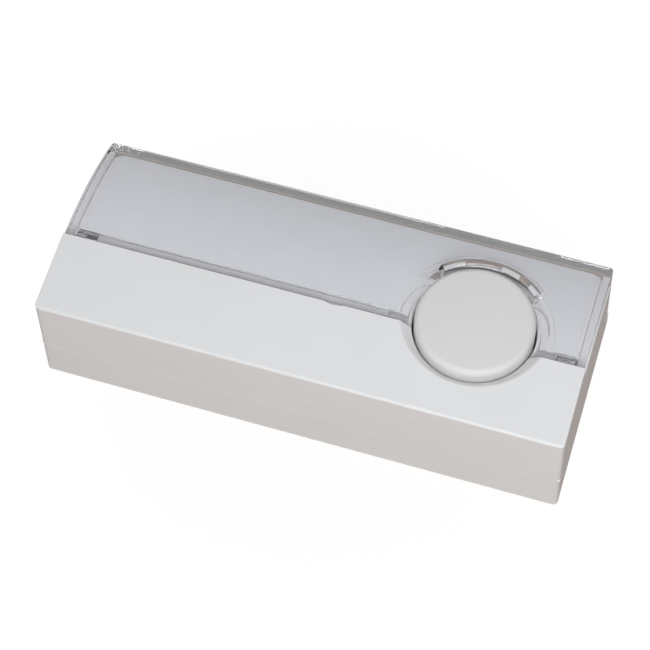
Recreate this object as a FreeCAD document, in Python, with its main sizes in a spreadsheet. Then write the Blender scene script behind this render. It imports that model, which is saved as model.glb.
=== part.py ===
import FreeCAD, Part
import Sketcher
import math
import os

# Illuminated door bell button: a low case screwed to the wall, with a clear name card window,
# a lamp behind the card and a round push button at the right.
# X runs along the case, Y from its front edge to its back edge, Z away from the wall.
# The origin is the middle of the footprint on the wall. All sizes are in millimetres.

SIZES = {
    # Case
    "case_length": 84.0,
    "case_depth": 34.0,
    "end_lean": 0.0314,
    "corner_round": 0.8,
    "wall_thick": 1.8,
    "floor_thick": 2.6,
    "split_height": 8.3,
    "ledge_height": 2.8,
    "front_height": 19.85,
    "deck_rise": 0.1,
    "deck_depth": 13.1,
    "deck_thick": 1.8,
    "crease_round": 0.45,
    "seat_gap": 0.05,
    "slip_gap": 0.1,
    "free_gap": 0.3,
    # Cover
    "end_wall_thick": 2.1,
    "lip_thick": 1.0,
    "lip_reach": 2.0,
    "shelf_depth": 2.6,
    "shelf_thick": 1.4,
    "back_wall_thick": 1.4,
    "back_wall_foot": 3.0,
    "notch_place": 2.4,
    "notch_width": 3.0,
    "notch_depth": 0.4,
    "notch_sink": 1.2,
    # Window
    "dome_radius": 42.3,
    "dome_back_height": 16.7,
    "window_thick": 1.8,
    "window_back_thick": 1.6,
    "window_inset": 0.2,
    "window_return": 2.95,
    "window_end_thick": 1.1,
    "rib_depth": 2.0,
    "lug_inset": 1.8,
    "lug_width": 3.0,
    "lug_depth": 0.9,
    "lug_reach": 2.2,
    "collar_radius": 12.0,
    "collar_height": 20.5,
    "collar_foot_height": 17.5,
    "collar_skirt": 0.6,
    "collar_roof": 0.7,
    "groove_inner_radius": 10.65,
    "groove_outer_radius": 11.7,
    # Card and diffuser
    "card_thick": 0.25,
    "card_margin": 0.4,
    "card_corner_round": 1.4,
    "diffuser_thick": 1.0,
    "card_cut_radius": 12.2,
    # Button and its guide
    "button_end_distance": 18.4,
    "button_forward": 1.0,
    "button_radius": 9.2,
    "button_top_height": 22.1,
    "button_crown": 0.25,
    "button_edge_round": 1.0,
    "button_travel": 1.6,
    "cap_thick": 1.8,
    "skirt_thick": 1.2,
    "skirt_foot_height": 10.2,
    "hook_height": 1.2,
    "hook_reach": 0.9,
    "hook_width": 4.0,
    "hook_count": 4,
    "tube_thick": 1.0,
    "tube_rear_height": 17.3,
    "funnel_radius": 11.3,
    "funnel_depth": 1.6,
    "lug_ring_inner": 10.9,
    "lug_ring_outer": 11.45,
    "lug_ring_top": 19.55,
    # Switch
    "plunger_radius": 2.0,
    "boss_radius": 4.4,
    "boss_height": 9.5,
    "strip_thick": 0.4,
    "strip_width": 1.8,
    "contact_height": 0.5,
    "contact_radius": 0.8,
    "leaf_thick": 0.3,
    "leaf_width": 3.6,
    "leaf_root_distance": 15.5,
    "leaf_bend_distance": 10.5,
    "leaf_crank": 2.5,
    "leaf_tip_overrun": 1.8,
    "rivet_distance": 13.3,
    "rivet_radius": 0.8,
    "rivet_head_radius": 1.5,
    "rivet_head_height": 0.5,
    "spring_radius": 3.2,
    "spring_wire_radius": 0.25,
    "spring_turns": 6,
    # Lamp
    "lamp_distance": 34.6,
    "lamp_rearward": 5.0,
    "lamp_height": 7.6,
    "lamp_reach": 18.0,
    "glass_radius": 3.2,
    "glass_thick": 0.5,
    "lamp_cap_radius": 3.5,
    "lamp_cap_length": 6.0,
    "lamp_tip_radius": 1.9,
    "lamp_tip_length": 2.0,
    "lamp_tip_end_radius": 0.5,
    "filament_radius": 0.15,
    "blade_width": 6.0,
    "blade_height": 11.0,
    # Terminals
    "terminal_left_distance": 50.6,
    "terminal_right_distance": 29.6,
    "terminal_forward": 7.6,
    "terminal_pad_width": 8.0,
    "terminal_pad_depth": 6.4,
    "front_run_forward": 12.5,
    "screw_radius": 1.5,
    "screw_head_radius": 2.75,
    "screw_head_height": 1.8,
    "screw_slot_width": 0.8,
    "screw_slot_depth": 0.9,
    "washer_side": 6.2,
    "washer_thick": 0.8,
    "nut_side": 5.5,
    "nut_thick": 1.8,
    # Wall side
    "fixing_end_distance": 6.5,
    "fixing_radius": 2.2,
    "fixing_slot_length": 7.5,
    "cable_radius": 4.0,
    "cable_distance": 40.1,
    "cable_forward": 6.4,
    "rear_rib_thick": 1.2,
    "rear_rib_height": 6.5,
    "rear_rib_end_gap": 3.9,
    "peg_radius": 0.7,
    "peg_height": 0.8,
    "front_peg_distance": 13.5,
    "rear_peg_distance": 21.0,
}

# The white blocks that show through the collar: middle and half width of each, in degrees
# round the button's axis.
COLLAR_LUGS = ((121.0, 9.0), (75.0, 8.0), (51.5, 5.0))

doc = FreeCAD.newDocument("doorbell_button")
sheet = doc.addObject("Spreadsheet::Sheet", "Sizes")
for row, (alias, number) in enumerate(SIZES.items(), start=1):
    sheet.set("A%d" % row, alias)
    sheet.set("B%d" % row, str(number))
    sheet.setAlias("B%d" % row, alias)
doc.recompute()


class Size:
    """A number together with the formula that ties it to the sheet."""

    def __init__(self, number, formula):
        self.number = number
        self.formula = formula

    @staticmethod
    def of(value):
        """Any plain number as a Size."""
        return value if isinstance(value, Size) else Size(float(value), repr(float(value)))

    def joined(self, other, sign, number):
        return Size(number, "(%s %s %s)" % (self.formula, sign, other.formula))

    def __add__(self, other):
        other = Size.of(other)
        return self.joined(other, "+", self.number + other.number)

    def __sub__(self, other):
        other = Size.of(other)
        return self.joined(other, "-", self.number - other.number)

    def __mul__(self, other):
        other = Size.of(other)
        return self.joined(other, "*", self.number * other.number)

    def __truediv__(self, other):
        other = Size.of(other)
        return self.joined(other, "/", self.number / other.number)

    def __radd__(self, other):
        return Size.of(other) + self

    def __rsub__(self, other):
        return Size.of(other) - self

    def __rmul__(self, other):
        return Size.of(other) * self

    def __neg__(self):
        return Size.of(0) - self

    def root(self):
        """The square root."""
        return Size(math.sqrt(self.number), "sqrt(%s)" % self.formula)

    def along(self, degrees):
        """This length along X and Y, seen at an angle in degrees."""
        return (self * math.cos(math.radians(degrees)), self * math.sin(math.radians(degrees)))


class Names:
    """The sheet's sizes, one attribute each."""


size = Names()
for alias, number in SIZES.items():
    setattr(size, alias, Size(float(number), "Sizes." + alias))


def bind(item, path, value):
    """Ties one property of an object to the sheet."""
    item.setExpression(path, Size.of(value).formula)


# Plane of each drawing: its origin feature, and which way its normal runs along the real axis
PLANES = {"XY": ("XY_Plane", 1), "XZ": ("XZ_Plane", -1), "YZ": ("YZ_Plane", 1)}


def new_body(name, place=None):
    """A sub-part. Its drawings are made round its own origin, which may stand at a place."""
    body = doc.addObject("PartDesign::Body", name)
    body.Label = name
    if place is not None:
        for axis, value in zip("xyz", place):
            bind(body, "Placement.Base." + axis, value)
    return body


def arc_between(start, end, radius):
    """Centre and end angles of the short arc from start to end; a positive radius turns left."""
    chord_u = end[0] - start[0]
    chord_v = end[1] - start[1]
    chord = math.hypot(chord_u, chord_v)
    rise = math.sqrt(radius * radius - chord * chord / 4) * math.copysign(1, radius)
    centre = (
        (start[0] + end[0]) / 2 - chord_v / chord * rise,
        (start[1] + end[1]) / 2 + chord_u / chord * rise,
    )
    angles = [math.atan2(corner[1] - centre[1], corner[0] - centre[0]) for corner in (start, end)]
    if radius < 0:
        angles.reverse()
    return centre, angles


def draw(body, name, plane, loops, at=(0, 0, 0)):
    """A drawing of closed loops on one of the body's planes, moved by at.

    A loop is a list of corners (u, v). A corner (u, v, radius) starts an arc to the next corner,
    turning left when the radius is positive. A single entry (u, v, radius) is a full circle."""
    role, _ = PLANES[plane]
    drawing = body.newObject("Sketcher::SketchObject", name)
    origin_plane = [f for f in body.Origin.OriginFeatures if f.Role == role][0]
    drawing.AttachmentSupport = [(origin_plane, "")]
    drawing.MapMode = "FlatFace"
    for axis, value in zip("xyz", at):
        bind(drawing, "AttachmentOffset.Base." + axis, value)
    normal = FreeCAD.Vector(0, 0, 1)
    rules = []
    bound = []

    def rule(value, *arguments):
        value = Size.of(value)
        rules.append(Sketcher.Constraint(*arguments, value.number))
        bound.append((len(rules) - 1, value))

    for loop in loops:
        first = drawing.GeometryCount
        if len(loop) == 1:
            u, v, radius = (Size.of(part) for part in loop[0])
            middle = FreeCAD.Vector(u.number, v.number, 0)
            drawing.addGeometry(Part.Circle(middle, normal, radius.number), False)
            rule(u, "DistanceX", -1, 1, first, 3)
            rule(v, "DistanceY", -1, 1, first, 3)
            rule(radius, "Radius", first)
            continue
        corners = [(Size.of(corner[0]), Size.of(corner[1])) for corner in loop]
        spots = [(u.number, v.number) for u, v in corners]
        start_of = []
        end_of = []
        for index, corner in enumerate(loop):
            spot = spots[index]
            following = spots[(index + 1) % len(loop)]
            start_of.append((first + index, 1))
            end_of.append((first + index, 2))
            if len(corner) == 2:
                ends = [FreeCAD.Vector(one[0], one[1], 0) for one in (spot, following)]
                drawing.addGeometry(Part.LineSegment(*ends), False)
                continue
            radius = Size.of(corner[2])
            centre, angles = arc_between(spot, following, radius.number)
            if angles[1] < angles[0]:
                angles[1] += 2 * math.pi
            circle = Part.Circle(FreeCAD.Vector(centre[0], centre[1], 0), normal, abs(radius.number))
            drawing.addGeometry(Part.ArcOfCircle(circle, *angles), False)
            rule(radius if radius.number > 0 else -radius, "Radius", first + index)
            if radius.number < 0:
                start_of[-1], end_of[-1] = end_of[-1], start_of[-1]
        for index, (u, v) in enumerate(corners):
            rules.append(Sketcher.Constraint("Coincident", *end_of[index - 1], *start_of[index]))
            rule(u, "DistanceX", -1, 1, *start_of[index])
            rule(v, "DistanceY", -1, 1, *start_of[index])
    drawing.addConstraint(rules)
    for index, value in bound:
        drawing.setExpression("Constraints[%d]" % index, value.formula)
    return drawing


def offset_for(plane, level):
    """Where a drawing lies so that its plane crosses the real axis at level."""
    return (0, 0, level if PLANES[plane][1] > 0 else -Size.of(level))


def add(body, name, plane, loops, low, high):
    """Material between two levels along the plane's axis."""
    low, high = Size.of(low), Size.of(high)
    forward = PLANES[plane][1] > 0
    drawing = draw(body, name + "_outline", plane, loops, offset_for(plane, low if forward else high))
    feature = body.newObject("PartDesign::Pad", name)
    feature.Profile = drawing
    bind(feature, "Length", high - low)
    return feature


def cut(body, name, plane, loops, low, high):
    """A hollow between two levels along the plane's axis."""
    low, high = Size.of(low), Size.of(high)
    forward = PLANES[plane][1] > 0
    drawing = draw(body, name + "_outline", plane, loops, offset_for(plane, high if forward else low))
    feature = body.newObject("PartDesign::Pocket", name)
    feature.Profile = drawing
    bind(feature, "Length", high - low)
    return feature


def turn(body, name, loop, at=(0, 0, 0), axis="V_Axis", hollow=False):
    """Material or a hollow turned round the drawing's upright or level axis.

    The drawing lies in the XZ plane, moved to the real point at."""
    x, y, z = at
    drawing = draw(body, name + "_outline", "XZ", [loop], (x, z, -Size.of(y)))
    feature = body.newObject("PartDesign::Groove" if hollow else "PartDesign::Revolution", name)
    feature.Profile = drawing
    feature.ReferenceAxis = (drawing, [axis])
    feature.Angle = 360.0
    return feature


def crown_radius(reach, rise):
    """Radius of a shallow crown that rises over the given reach."""
    return (reach * reach + rise * rise) / (2 * rise)


def box(x_low, x_high, y_low, y_high):
    """The corners of a rectangle."""
    return [(x_low, y_low), (x_high, y_low), (x_high, y_high), (x_low, y_high)]


def ring_sector(x, y, inner, outer, middle, half_width):
    """A piece of a ring round x, y between two angles."""
    first, last = middle - half_width, middle + half_width
    spots = [
        outer.along(first) + (outer,),
        outer.along(last),
        inner.along(last) + (-inner,),
        inner.along(first),
    ]
    return [(spot[0] + x, spot[1] + y) + tuple(spot[2:]) for spot in spots]


def round_edges(body, name, feature, radius, wanted):
    """A rounding of those edges of a feature for which wanted(edge) is true."""
    doc.recompute()
    edges = feature.Shape.Edges
    names = ["Edge%d" % (index + 1) for index, edge in enumerate(edges) if wanted(edge)]
    if not names:
        raise RuntimeError("no edge to round for " + name)
    rounding = body.newObject("PartDesign::Fillet", name)
    rounding.Base = (feature, names)
    bind(rounding, "Radius", radius)
    return rounding


# Places that several pieces share
half_length = size.case_length / 2
front = -size.case_depth / 2
back = size.case_depth / 2
inner_front = front + size.wall_thick
boundary = front + size.deck_depth
boundary_height = size.front_height + size.deck_rise * size.deck_depth
lowest = -size.wall_thick
above_all = size.button_top_height + size.wall_thick
room_half_length = half_length - size.end_wall_thick
window_back = back - size.window_inset
window_back_inner = window_back - size.window_back_thick
base_back = window_back_inner - size.free_gap + size.slip_gap
cover_back = base_back - size.slip_gap
cover_back_inner = cover_back - size.back_wall_thick

# Centre of the dome's arc, from its two ends and its radius
dome_run = window_back - boundary
dome_fall = size.dome_back_height - boundary_height
dome_chord = (dome_run * dome_run + dome_fall * dome_fall).root()
dome_depth = (size.dome_radius * size.dome_radius - dome_chord * dome_chord / 4).root()
dome_y = (boundary + window_back) / 2 + dome_fall / dome_chord * dome_depth
dome_z = (boundary_height + size.dome_back_height) / 2 - dome_run / dome_chord * dome_depth


def dome_height(radius, y):
    """Height at y of an arc of the given radius round the dome's centre."""
    reach = Size.of(y) - dome_y
    return dome_z + (radius * radius - reach * reach).root()


dome_inner_radius = size.dome_radius - size.window_thick
card_radius = dome_inner_radius - size.free_gap
diffuser_radius = card_radius - size.card_thick - size.seat_gap / 2
ledge_radius = diffuser_radius - size.diffuser_thick - size.seat_gap
return_radius = size.dome_radius - size.window_return
shelf_back = boundary + size.shelf_depth
shelf_top = dome_height(ledge_radius, shelf_back)
lug_place = room_half_length - size.lug_inset

button_x = half_length - size.button_end_distance
button_y = -size.button_forward
leaf_root = button_x - size.leaf_root_distance
leaf_bend = button_x - size.leaf_bend_distance
rivet_x = button_x - size.rivet_distance
terminal_left = button_x - size.terminal_left_distance
terminal_right = button_x - size.terminal_right_distance
terminal_y = -size.terminal_forward
lamp_x = button_x - size.lamp_distance
lamp_y = size.lamp_rearward
cable_x = button_x - size.cable_distance
cable_y = -size.cable_forward
fixing_x = half_length - size.fixing_end_distance
tube_inner_radius = size.button_radius + size.free_gap
tube_outer_radius = tube_inner_radius + size.tube_thick
tube_foot = size.skirt_foot_height + size.hook_height + size.seat_gap
cap_underside = size.button_top_height - size.cap_thick
strip_top = size.floor_thick + size.strip_thick
leaf_tip_low = strip_top + size.contact_height + size.button_travel - size.slip_gap
plunger_foot = leaf_tip_low + size.leaf_thick + size.seat_gap


def lean_ends(body, name, inset=0):
    """Trims both ends of a body to the slope of the case's ends."""
    bottom = half_length - inset
    top = bottom - size.end_lean * above_all
    beyond = half_length + size.wall_thick
    right = [
        (bottom - size.end_lean * lowest, lowest),
        (beyond, lowest),
        (beyond, above_all),
        (top, above_all),
    ]
    left = [(-u, v) for u, v in reversed(right)]
    return cut(body, name, "XZ", [right, left], front - size.wall_thick, back + size.wall_thick)


def upright_edge(y_place):
    """A test for the case's upright corner edges at one side."""
    def test(edge):
        ends = [vertex.Point for vertex in edge.Vertexes]
        rise = abs(ends[0].z - ends[-1].z)
        at_side = all(abs(end.y - y_place.number) < 0.01 for end in ends)
        at_end = all(abs(end.x) > room_half_length.number for end in ends)
        return at_side and at_end and rise > size.wall_thick.number
    return test


def obround(x, y, radius, length):
    """A slot with round ends along X."""
    straight = length / 2 - radius
    return [
        (x - straight, y - radius),
        (x + straight, y - radius, radius),
        (x + straight + radius, y, radius),
        (x + straight, y + radius),
        (x - straight, y + radius, radius),
        (x - straight - radius, y, radius),
    ]


def make_base_tray():
    """Wall plate with its low walls, bosses and holes."""
    body = new_body("base_tray")
    side = [
        (front, 0),
        (back, 0),
        (back, size.ledge_height),
        (base_back, size.ledge_height),
        (base_back, size.split_height),
        (front, size.split_height),
    ]
    add(body, "tray_block", "YZ", [side], -half_length, half_length)
    block = lean_ends(body, "tray_ends")
    round_edges(body, "tray_front_corners", block, size.corner_round, upright_edge(front))
    wall = half_length - size.wall_thick
    room = box(-wall, wall, inner_front, base_back)
    cut(body, "tray_room", "XY", [room], size.floor_thick, size.split_height)
    fixings = [
        obround(sign * fixing_x, 0, size.fixing_radius, size.fixing_slot_length)
        for sign in (-1, 1)
    ]
    cable = [(cable_x, cable_y, size.cable_radius)]
    screw_hole = size.screw_radius + size.slip_gap
    screws = [[(x, terminal_y, screw_hole)] for x in terminal_places]
    cut(body, "tray_holes", "XY", fixings + [cable] + screws, 0, size.floor_thick)
    nut_half = size.nut_side / 2 + size.slip_gap
    nut_y = terminal_y
    nuts = [box(x - nut_half, x + nut_half, nut_y - nut_half, nut_y + nut_half) for x in terminal_places]
    cut(body, "nut_pockets", "XY", nuts, 0, size.nut_thick + size.slip_gap)
    rib_back = cover_back_inner - size.free_gap
    rib_half = room_half_length - size.rear_rib_end_gap
    rib = box(-rib_half, rib_half, rib_back - size.rear_rib_thick, rib_back)
    add(body, "rear_rib", "XY", [rib], size.floor_thick, size.rear_rib_height)
    pegs = [[(x, y, size.peg_radius)] for x, y in peg_places]
    add(body, "strip_pegs", "XY", pegs, size.floor_thick, strip_top + size.peg_height)
    boss = [(button_x, button_y, size.boss_radius)]
    add(body, "switch_boss", "XY", [boss], size.floor_thick, size.boss_height)
    bore = [(button_x, button_y, size.plunger_radius + size.free_gap)]
    cut(body, "plunger_bore", "XY", [bore], size.floor_thick, size.boss_height)
    leaf_half = size.leaf_width / 2 + size.free_gap
    leaf_end = button_x + size.leaf_tip_overrun + size.free_gap
    beyond = size.boss_radius + size.free_gap
    leaf_way = box(button_x - beyond, leaf_end, button_y - leaf_half, button_y + leaf_half)
    leaf_way_top = leaf_tip_low + size.leaf_thick + size.free_gap
    cut(body, "leaf_way", "XY", [leaf_way], size.floor_thick, leaf_way_top)
    strip_half = size.contact_radius * 2 + size.free_gap
    strip_way = box(
        button_x - strip_half,
        button_x + strip_half,
        button_y - beyond,
        button_y + strip_half,
    )
    strip_way_top = strip_top + size.contact_height + size.free_gap
    cut(body, "strip_way", "XY", [strip_way], size.floor_thick, strip_way_top)
    return body


def make_front_cover():
    """White casing with the deck, the window's shelf and the button's guide tube."""
    body = new_body("front_cover")
    deck_start = front + size.crease_round
    crease_arc = size.crease_round * (1 + size.deck_rise)
    ledge_drop = return_radius - size.seat_gap
    side = [
        (front, size.split_height),
        (cover_back, size.split_height),
        (cover_back, dome_height(ledge_drop, cover_back), ledge_drop),
        (boundary, dome_height(ledge_drop, boundary)),
        (boundary, boundary_height),
        (deck_start, size.front_height + size.deck_rise * size.crease_round, crease_arc),
        (front, size.front_height - size.crease_round),
    ]
    add(body, "cover_block", "YZ", [side], -half_length, half_length)
    block = lean_ends(body, "cover_ends")
    round_edges(body, "cover_front_corners", block, size.corner_round, upright_edge(front))

    def deck_underside(y):
        return size.front_height + size.deck_rise * (Size.of(y) - front) - size.deck_thick

    deck_stop = boundary - size.wall_thick
    room = [
        (inner_front, lowest),
        (cover_back_inner, lowest),
        (cover_back_inner, dome_height(ledge_radius, cover_back_inner)),
        (cover_back + size.slip_gap, dome_height(ledge_radius, cover_back)),
        (cover_back + size.slip_gap, above_all),
        (boundary, above_all),
        (boundary, shelf_top),
        (shelf_back, shelf_top),
        (shelf_back, shelf_top - size.shelf_thick),
        (deck_stop, shelf_top - size.shelf_thick),
        (deck_stop, deck_underside(deck_stop)),
        (inner_front, deck_underside(inner_front)),
    ]
    cut(body, "cover_room", "YZ", [room], -room_half_length, room_half_length)
    back_wall = box(-room_half_length, room_half_length, cover_back_inner, cover_back)
    add(body, "back_wall_foot", "XY", [back_wall], size.back_wall_foot, size.split_height)
    lip_front = inner_front + size.slip_gap
    lip_low = size.split_height - size.lip_reach
    lip_high = size.split_height + size.lip_thick
    inside_wall = inner_front - size.slip_gap
    lip = [
        (lip_front, lip_low),
        (lip_front + size.lip_thick, lip_low),
        (lip_front + size.lip_thick, lip_high),
        (inside_wall, lip_high + size.lip_thick),
        (inside_wall, size.split_height + size.seat_gap),
        (lip_front, size.split_height + size.seat_gap),
    ]
    lip_half = room_half_length - size.lip_reach
    add(body, "front_lip", "YZ", [lip], -lip_half, lip_half)
    tube = [(button_x, button_y, tube_outer_radius)]
    add(body, "guide_tube", "XY", [tube], tube_foot, boundary_height - size.funnel_depth)
    behind = box(
        button_x - size.collar_radius,
        button_x + size.collar_radius,
        boundary + size.seat_gap,
        button_y + size.collar_radius,
    )
    cut(body, "tube_rear", "XY", [behind], size.tube_rear_height, above_all)
    lugs = [
        ring_sector(button_x, button_y, tube_inner_radius + size.tube_thick / 2, size.lug_ring_outer, *lug)
        for lug in COLLAR_LUGS
    ]
    foot = size.tube_rear_height - size.tube_thick
    add(body, "collar_lug_feet", "XY", lugs, foot - size.tube_thick, foot)
    lugs = [
        ring_sector(button_x, button_y, size.lug_ring_inner, size.lug_ring_outer, *lug)
        for lug in COLLAR_LUGS
    ]
    add(body, "collar_lugs", "XY", lugs, foot - size.tube_thick, size.lug_ring_top)
    bore = [(button_x, button_y, tube_inner_radius)]
    cut(body, "tube_bore", "XY", [bore], tube_foot, above_all)
    funnel = [
        (0, boundary_height - size.funnel_depth),
        (tube_inner_radius, boundary_height - size.funnel_depth),
        (size.funnel_radius, boundary_height),
        (size.funnel_radius, above_all),
        (0, above_all),
    ]
    turn(body, "funnel", funnel, (button_x, button_y, 0), hollow=True)
    slots = []
    for sign in (-1, 1):
        slot_half = size.lug_width / 2 + size.free_gap
        slot_y = boundary + size.rib_depth / 2
        slot_deep = size.lug_depth / 2 + size.free_gap
        middle = sign * lug_place
        slots.append(box(middle - slot_half, middle + slot_half, slot_y - slot_deep, slot_y + slot_deep))
    cut(body, "lug_slots", "XY", slots, shelf_top - size.shelf_thick, shelf_top)
    notch_half = size.notch_width / 2
    notch = [
        (size.notch_place - notch_half, boundary, crown_radius(notch_half, size.notch_depth)),
        (size.notch_place + notch_half, boundary),
        (size.notch_place + notch_half, boundary + size.slip_gap),
        (size.notch_place - notch_half, boundary + size.slip_gap),
    ]
    cut(body, "pry_notch", "XY", [notch], boundary_height - size.notch_sink, above_all)
    return body


def make_name_window():
    """Clear curved window, with its back wall and the raised collar round the button."""
    body = new_body("name_window")
    window_front = boundary + size.slip_gap
    foot = size.ledge_height + size.seat_gap
    side = [
        (window_back_inner, foot),
        (window_back, foot),
        (window_back, size.dome_back_height, size.dome_radius),
        (window_front, dome_height(size.dome_radius, window_front)),
        (window_front, dome_height(return_radius, window_front), -return_radius),
        (window_back_inner, dome_height(return_radius, window_back_inner)),
    ]
    add(body, "window_block", "YZ", [side], -half_length, half_length)
    block = lean_ends(body, "window_ends", size.window_inset)
    round_edges(body, "window_back_corners", block, size.corner_round, upright_edge(window_back))
    collar = [
        (0, size.collar_foot_height),
        (size.collar_radius + size.collar_skirt, size.collar_foot_height),
        (size.collar_radius, size.collar_height),
        (0, size.collar_height),
    ]
    turn(body, "collar", collar, (button_x, button_y, 0))
    below = [
        (boundary - size.collar_radius, lowest),
        (window_back_inner, lowest),
        (window_back_inner, dome_height(dome_inner_radius, window_back_inner), dome_inner_radius),
        (window_front, dome_height(dome_inner_radius, window_front)),
        (boundary - size.collar_radius, dome_height(dome_inner_radius, window_front)),
    ]
    clear_half = half_length - size.window_inset - size.window_end_thick - size.end_lean * boundary_height
    cut(body, "window_room", "YZ", [below], -clear_half, clear_half)
    ahead = box(
        button_x - size.collar_radius * 2,
        button_x + size.collar_radius * 2,
        front,
        window_front,
    )
    cut(body, "collar_front", "XY", [ahead], lowest, above_all)
    rib_half = room_half_length - size.free_gap
    rib = box(-rib_half, rib_half, window_front, boundary + size.rib_depth)
    rib_top = dome_height(dome_inner_radius, boundary) + size.window_thick / 2
    add(body, "front_rib", "XY", [rib], shelf_top + size.seat_gap, rib_top)
    lug_y = boundary + size.rib_depth / 2
    lugs = []
    for sign in (-1, 1):
        middle = sign * lug_place
        lug_half = size.lug_width / 2
        lug_deep = size.lug_depth / 2
        lugs.append(box(middle - lug_half, middle + lug_half, lug_y - lug_deep, lug_y + lug_deep))
    add(body, "snap_lugs", "XY", lugs, shelf_top - size.lug_reach, shelf_top + size.wall_thick)
    clear_bore = tube_inner_radius + size.slip_gap
    bore = [(button_x, button_y, clear_bore)]
    cut(body, "button_way", "XY", [bore], lowest, above_all)
    funnel_foot = boundary_height - size.funnel_depth
    funnel = [
        (0, funnel_foot),
        (clear_bore, funnel_foot),
        (size.funnel_radius + size.slip_gap, boundary_height),
        (size.funnel_radius + size.slip_gap, above_all),
        (0, above_all),
    ]
    turn(body, "collar_funnel", funnel, (button_x, button_y, 0), hollow=True)
    groove = [
        (size.groove_inner_radius, lowest),
        (size.groove_outer_radius, lowest),
        (size.groove_outer_radius, size.collar_height - size.collar_roof),
        (size.groove_inner_radius, size.collar_height - size.collar_roof),
    ]
    turn(body, "collar_groove", groove, (button_x, button_y, 0), hollow=True)
    return body


def curved_sheet(name, outer_radius, thick, half_width, y_low, y_high, corner_round):
    """A sheet bent to the dome, cut away round the collar, with round back corners."""
    body = new_body(name)
    inner_radius = outer_radius - thick
    side = [
        (y_high, dome_height(inner_radius, y_high)),
        (y_high, dome_height(outer_radius, y_high), outer_radius),
        (y_low, dome_height(outer_radius, y_low)),
        (y_low, dome_height(inner_radius, y_low), -inner_radius),
    ]
    add(body, name + "_bend", "YZ", [side], -half_width, half_width)
    gap = [(button_x, button_y, size.card_cut_radius)]
    cut(body, name + "_gap", "XY", [gap], size.split_height, above_all)
    beyond = y_high + corner_round
    corners = []
    for sign in (-1, 1):
        edge = sign * half_width
        corner = [
            (edge - sign * corner_round, y_high, -sign * corner_round),
            (edge, y_high - corner_round),
            (edge + sign * corner_round, y_high - corner_round),
            (edge + sign * corner_round, beyond),
            (edge - sign * corner_round, beyond),
        ]
        corners.append(corner)
    cut(body, name + "_corners", "XY", corners, size.split_height, above_all)
    return body


def make_card_pieces():
    """The opal plate on the cover's ledges and the blank card that lies on it."""
    front_edge = boundary + size.rib_depth + size.slip_gap
    back_edge = cover_back
    half = room_half_length - size.free_gap
    edges = (front_edge, back_edge, size.card_corner_round)
    diffuser = curved_sheet("card_diffuser", diffuser_radius, size.diffuser_thick, half, *edges)
    card_half = half - size.card_margin
    card = curved_sheet("name_card", card_radius, size.card_thick, card_half, *edges)
    return [diffuser, card]


def make_push_button():
    """Ivory cap with a skirt in the guide tube, hooks under the tube and a plunger."""
    body = new_body("push_button", (button_x, button_y, 0))
    skirt_inner = size.button_radius - size.skirt_thick
    rim = size.button_radius - size.button_edge_round
    rim_top = size.button_top_height - size.button_crown
    profile = [
        (0, plunger_foot),
        (size.plunger_radius, plunger_foot),
        (size.plunger_radius, cap_underside),
        (skirt_inner, cap_underside),
        (skirt_inner, size.skirt_foot_height),
        (size.button_radius, size.skirt_foot_height),
        (size.button_radius, rim_top - size.button_edge_round, size.button_edge_round),
        (rim, rim_top, crown_radius(rim, size.button_crown)),
        (0, size.button_top_height),
    ]
    turn(body, "button_cap", profile)
    hook_tip = size.button_radius + size.hook_reach
    hook_root = size.button_radius - size.skirt_thick / 2
    hook = box(hook_root, hook_tip, -size.hook_width / 2, size.hook_width / 2)
    hook_top = size.skirt_foot_height + size.hook_height
    feature = add(body, "hook", "XY", [hook], size.skirt_foot_height, hook_top)
    pattern = body.newObject("PartDesign::PolarPattern", "hooks")
    pattern.Originals = [feature]
    pattern.Axis = ([f for f in body.Origin.OriginFeatures if f.Role == "Z_Axis"][0], [""])
    pattern.Angle = 360.0
    bind(pattern, "Occurrences", size.hook_count)
    body.Tip = pattern
    return body


def make_return_spring():
    """Coil between the switch boss and the underside of the cap."""
    body = new_body("return_spring", (button_x, button_y, 0))
    end_gap = size.spring_wire_radius + size.seat_gap
    low = size.boss_height + end_gap
    high = cap_underside - end_gap
    drawing = draw(body, "wire_outline", "XZ", [[(size.spring_radius, low, size.spring_wire_radius)]])
    coil = body.newObject("PartDesign::AdditiveHelix", "coil")
    coil.Profile = drawing
    coil.ReferenceAxis = (drawing, ["V_Axis"])
    coil.Mode = "height-turns-angle"
    bind(coil, "Height", high - low)
    bind(coil, "Turns", size.spring_turns)
    return body


terminal_places = (terminal_left, terminal_right)
pad_half_width = size.terminal_pad_width / 2
pad_half_depth = size.terminal_pad_depth / 2
run_half = size.strip_width / 2
run_y = -size.front_run_forward
lamp_left = lamp_x - size.lamp_reach
lamp_right = lamp_x + size.lamp_reach
blade_half = size.blade_width / 2
leaf_half_width = size.leaf_width / 2
strip_half_width = size.contact_radius * 2
left_leg = terminal_left - pad_half_width
peg_places = (
    (button_x - size.front_peg_distance, run_y),
    ((left_leg + lamp_left) / 2, button_y),
    (button_x - size.rear_peg_distance, button_y),
)


def add_blade(body, name, place):
    """Upright blade with the hole that holds one tip of the lamp."""
    half = size.strip_thick / 2
    y = lamp_y
    tip_fall = (size.lamp_tip_radius - size.lamp_tip_end_radius) / size.lamp_tip_length
    reach = size.lamp_tip_length / 2
    hole_radius = size.lamp_tip_radius - tip_fall * (reach - half) + size.seat_gap
    upright = [(y - blade_half, size.floor_thick), (y + blade_half, size.floor_thick)]
    upright += [(y + blade_half, size.blade_height), (y - blade_half, size.blade_height)]
    hole = [(y, size.lamp_height, hole_radius)]
    add(body, name, "YZ", [upright, hole], place - half, place + half)


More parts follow.
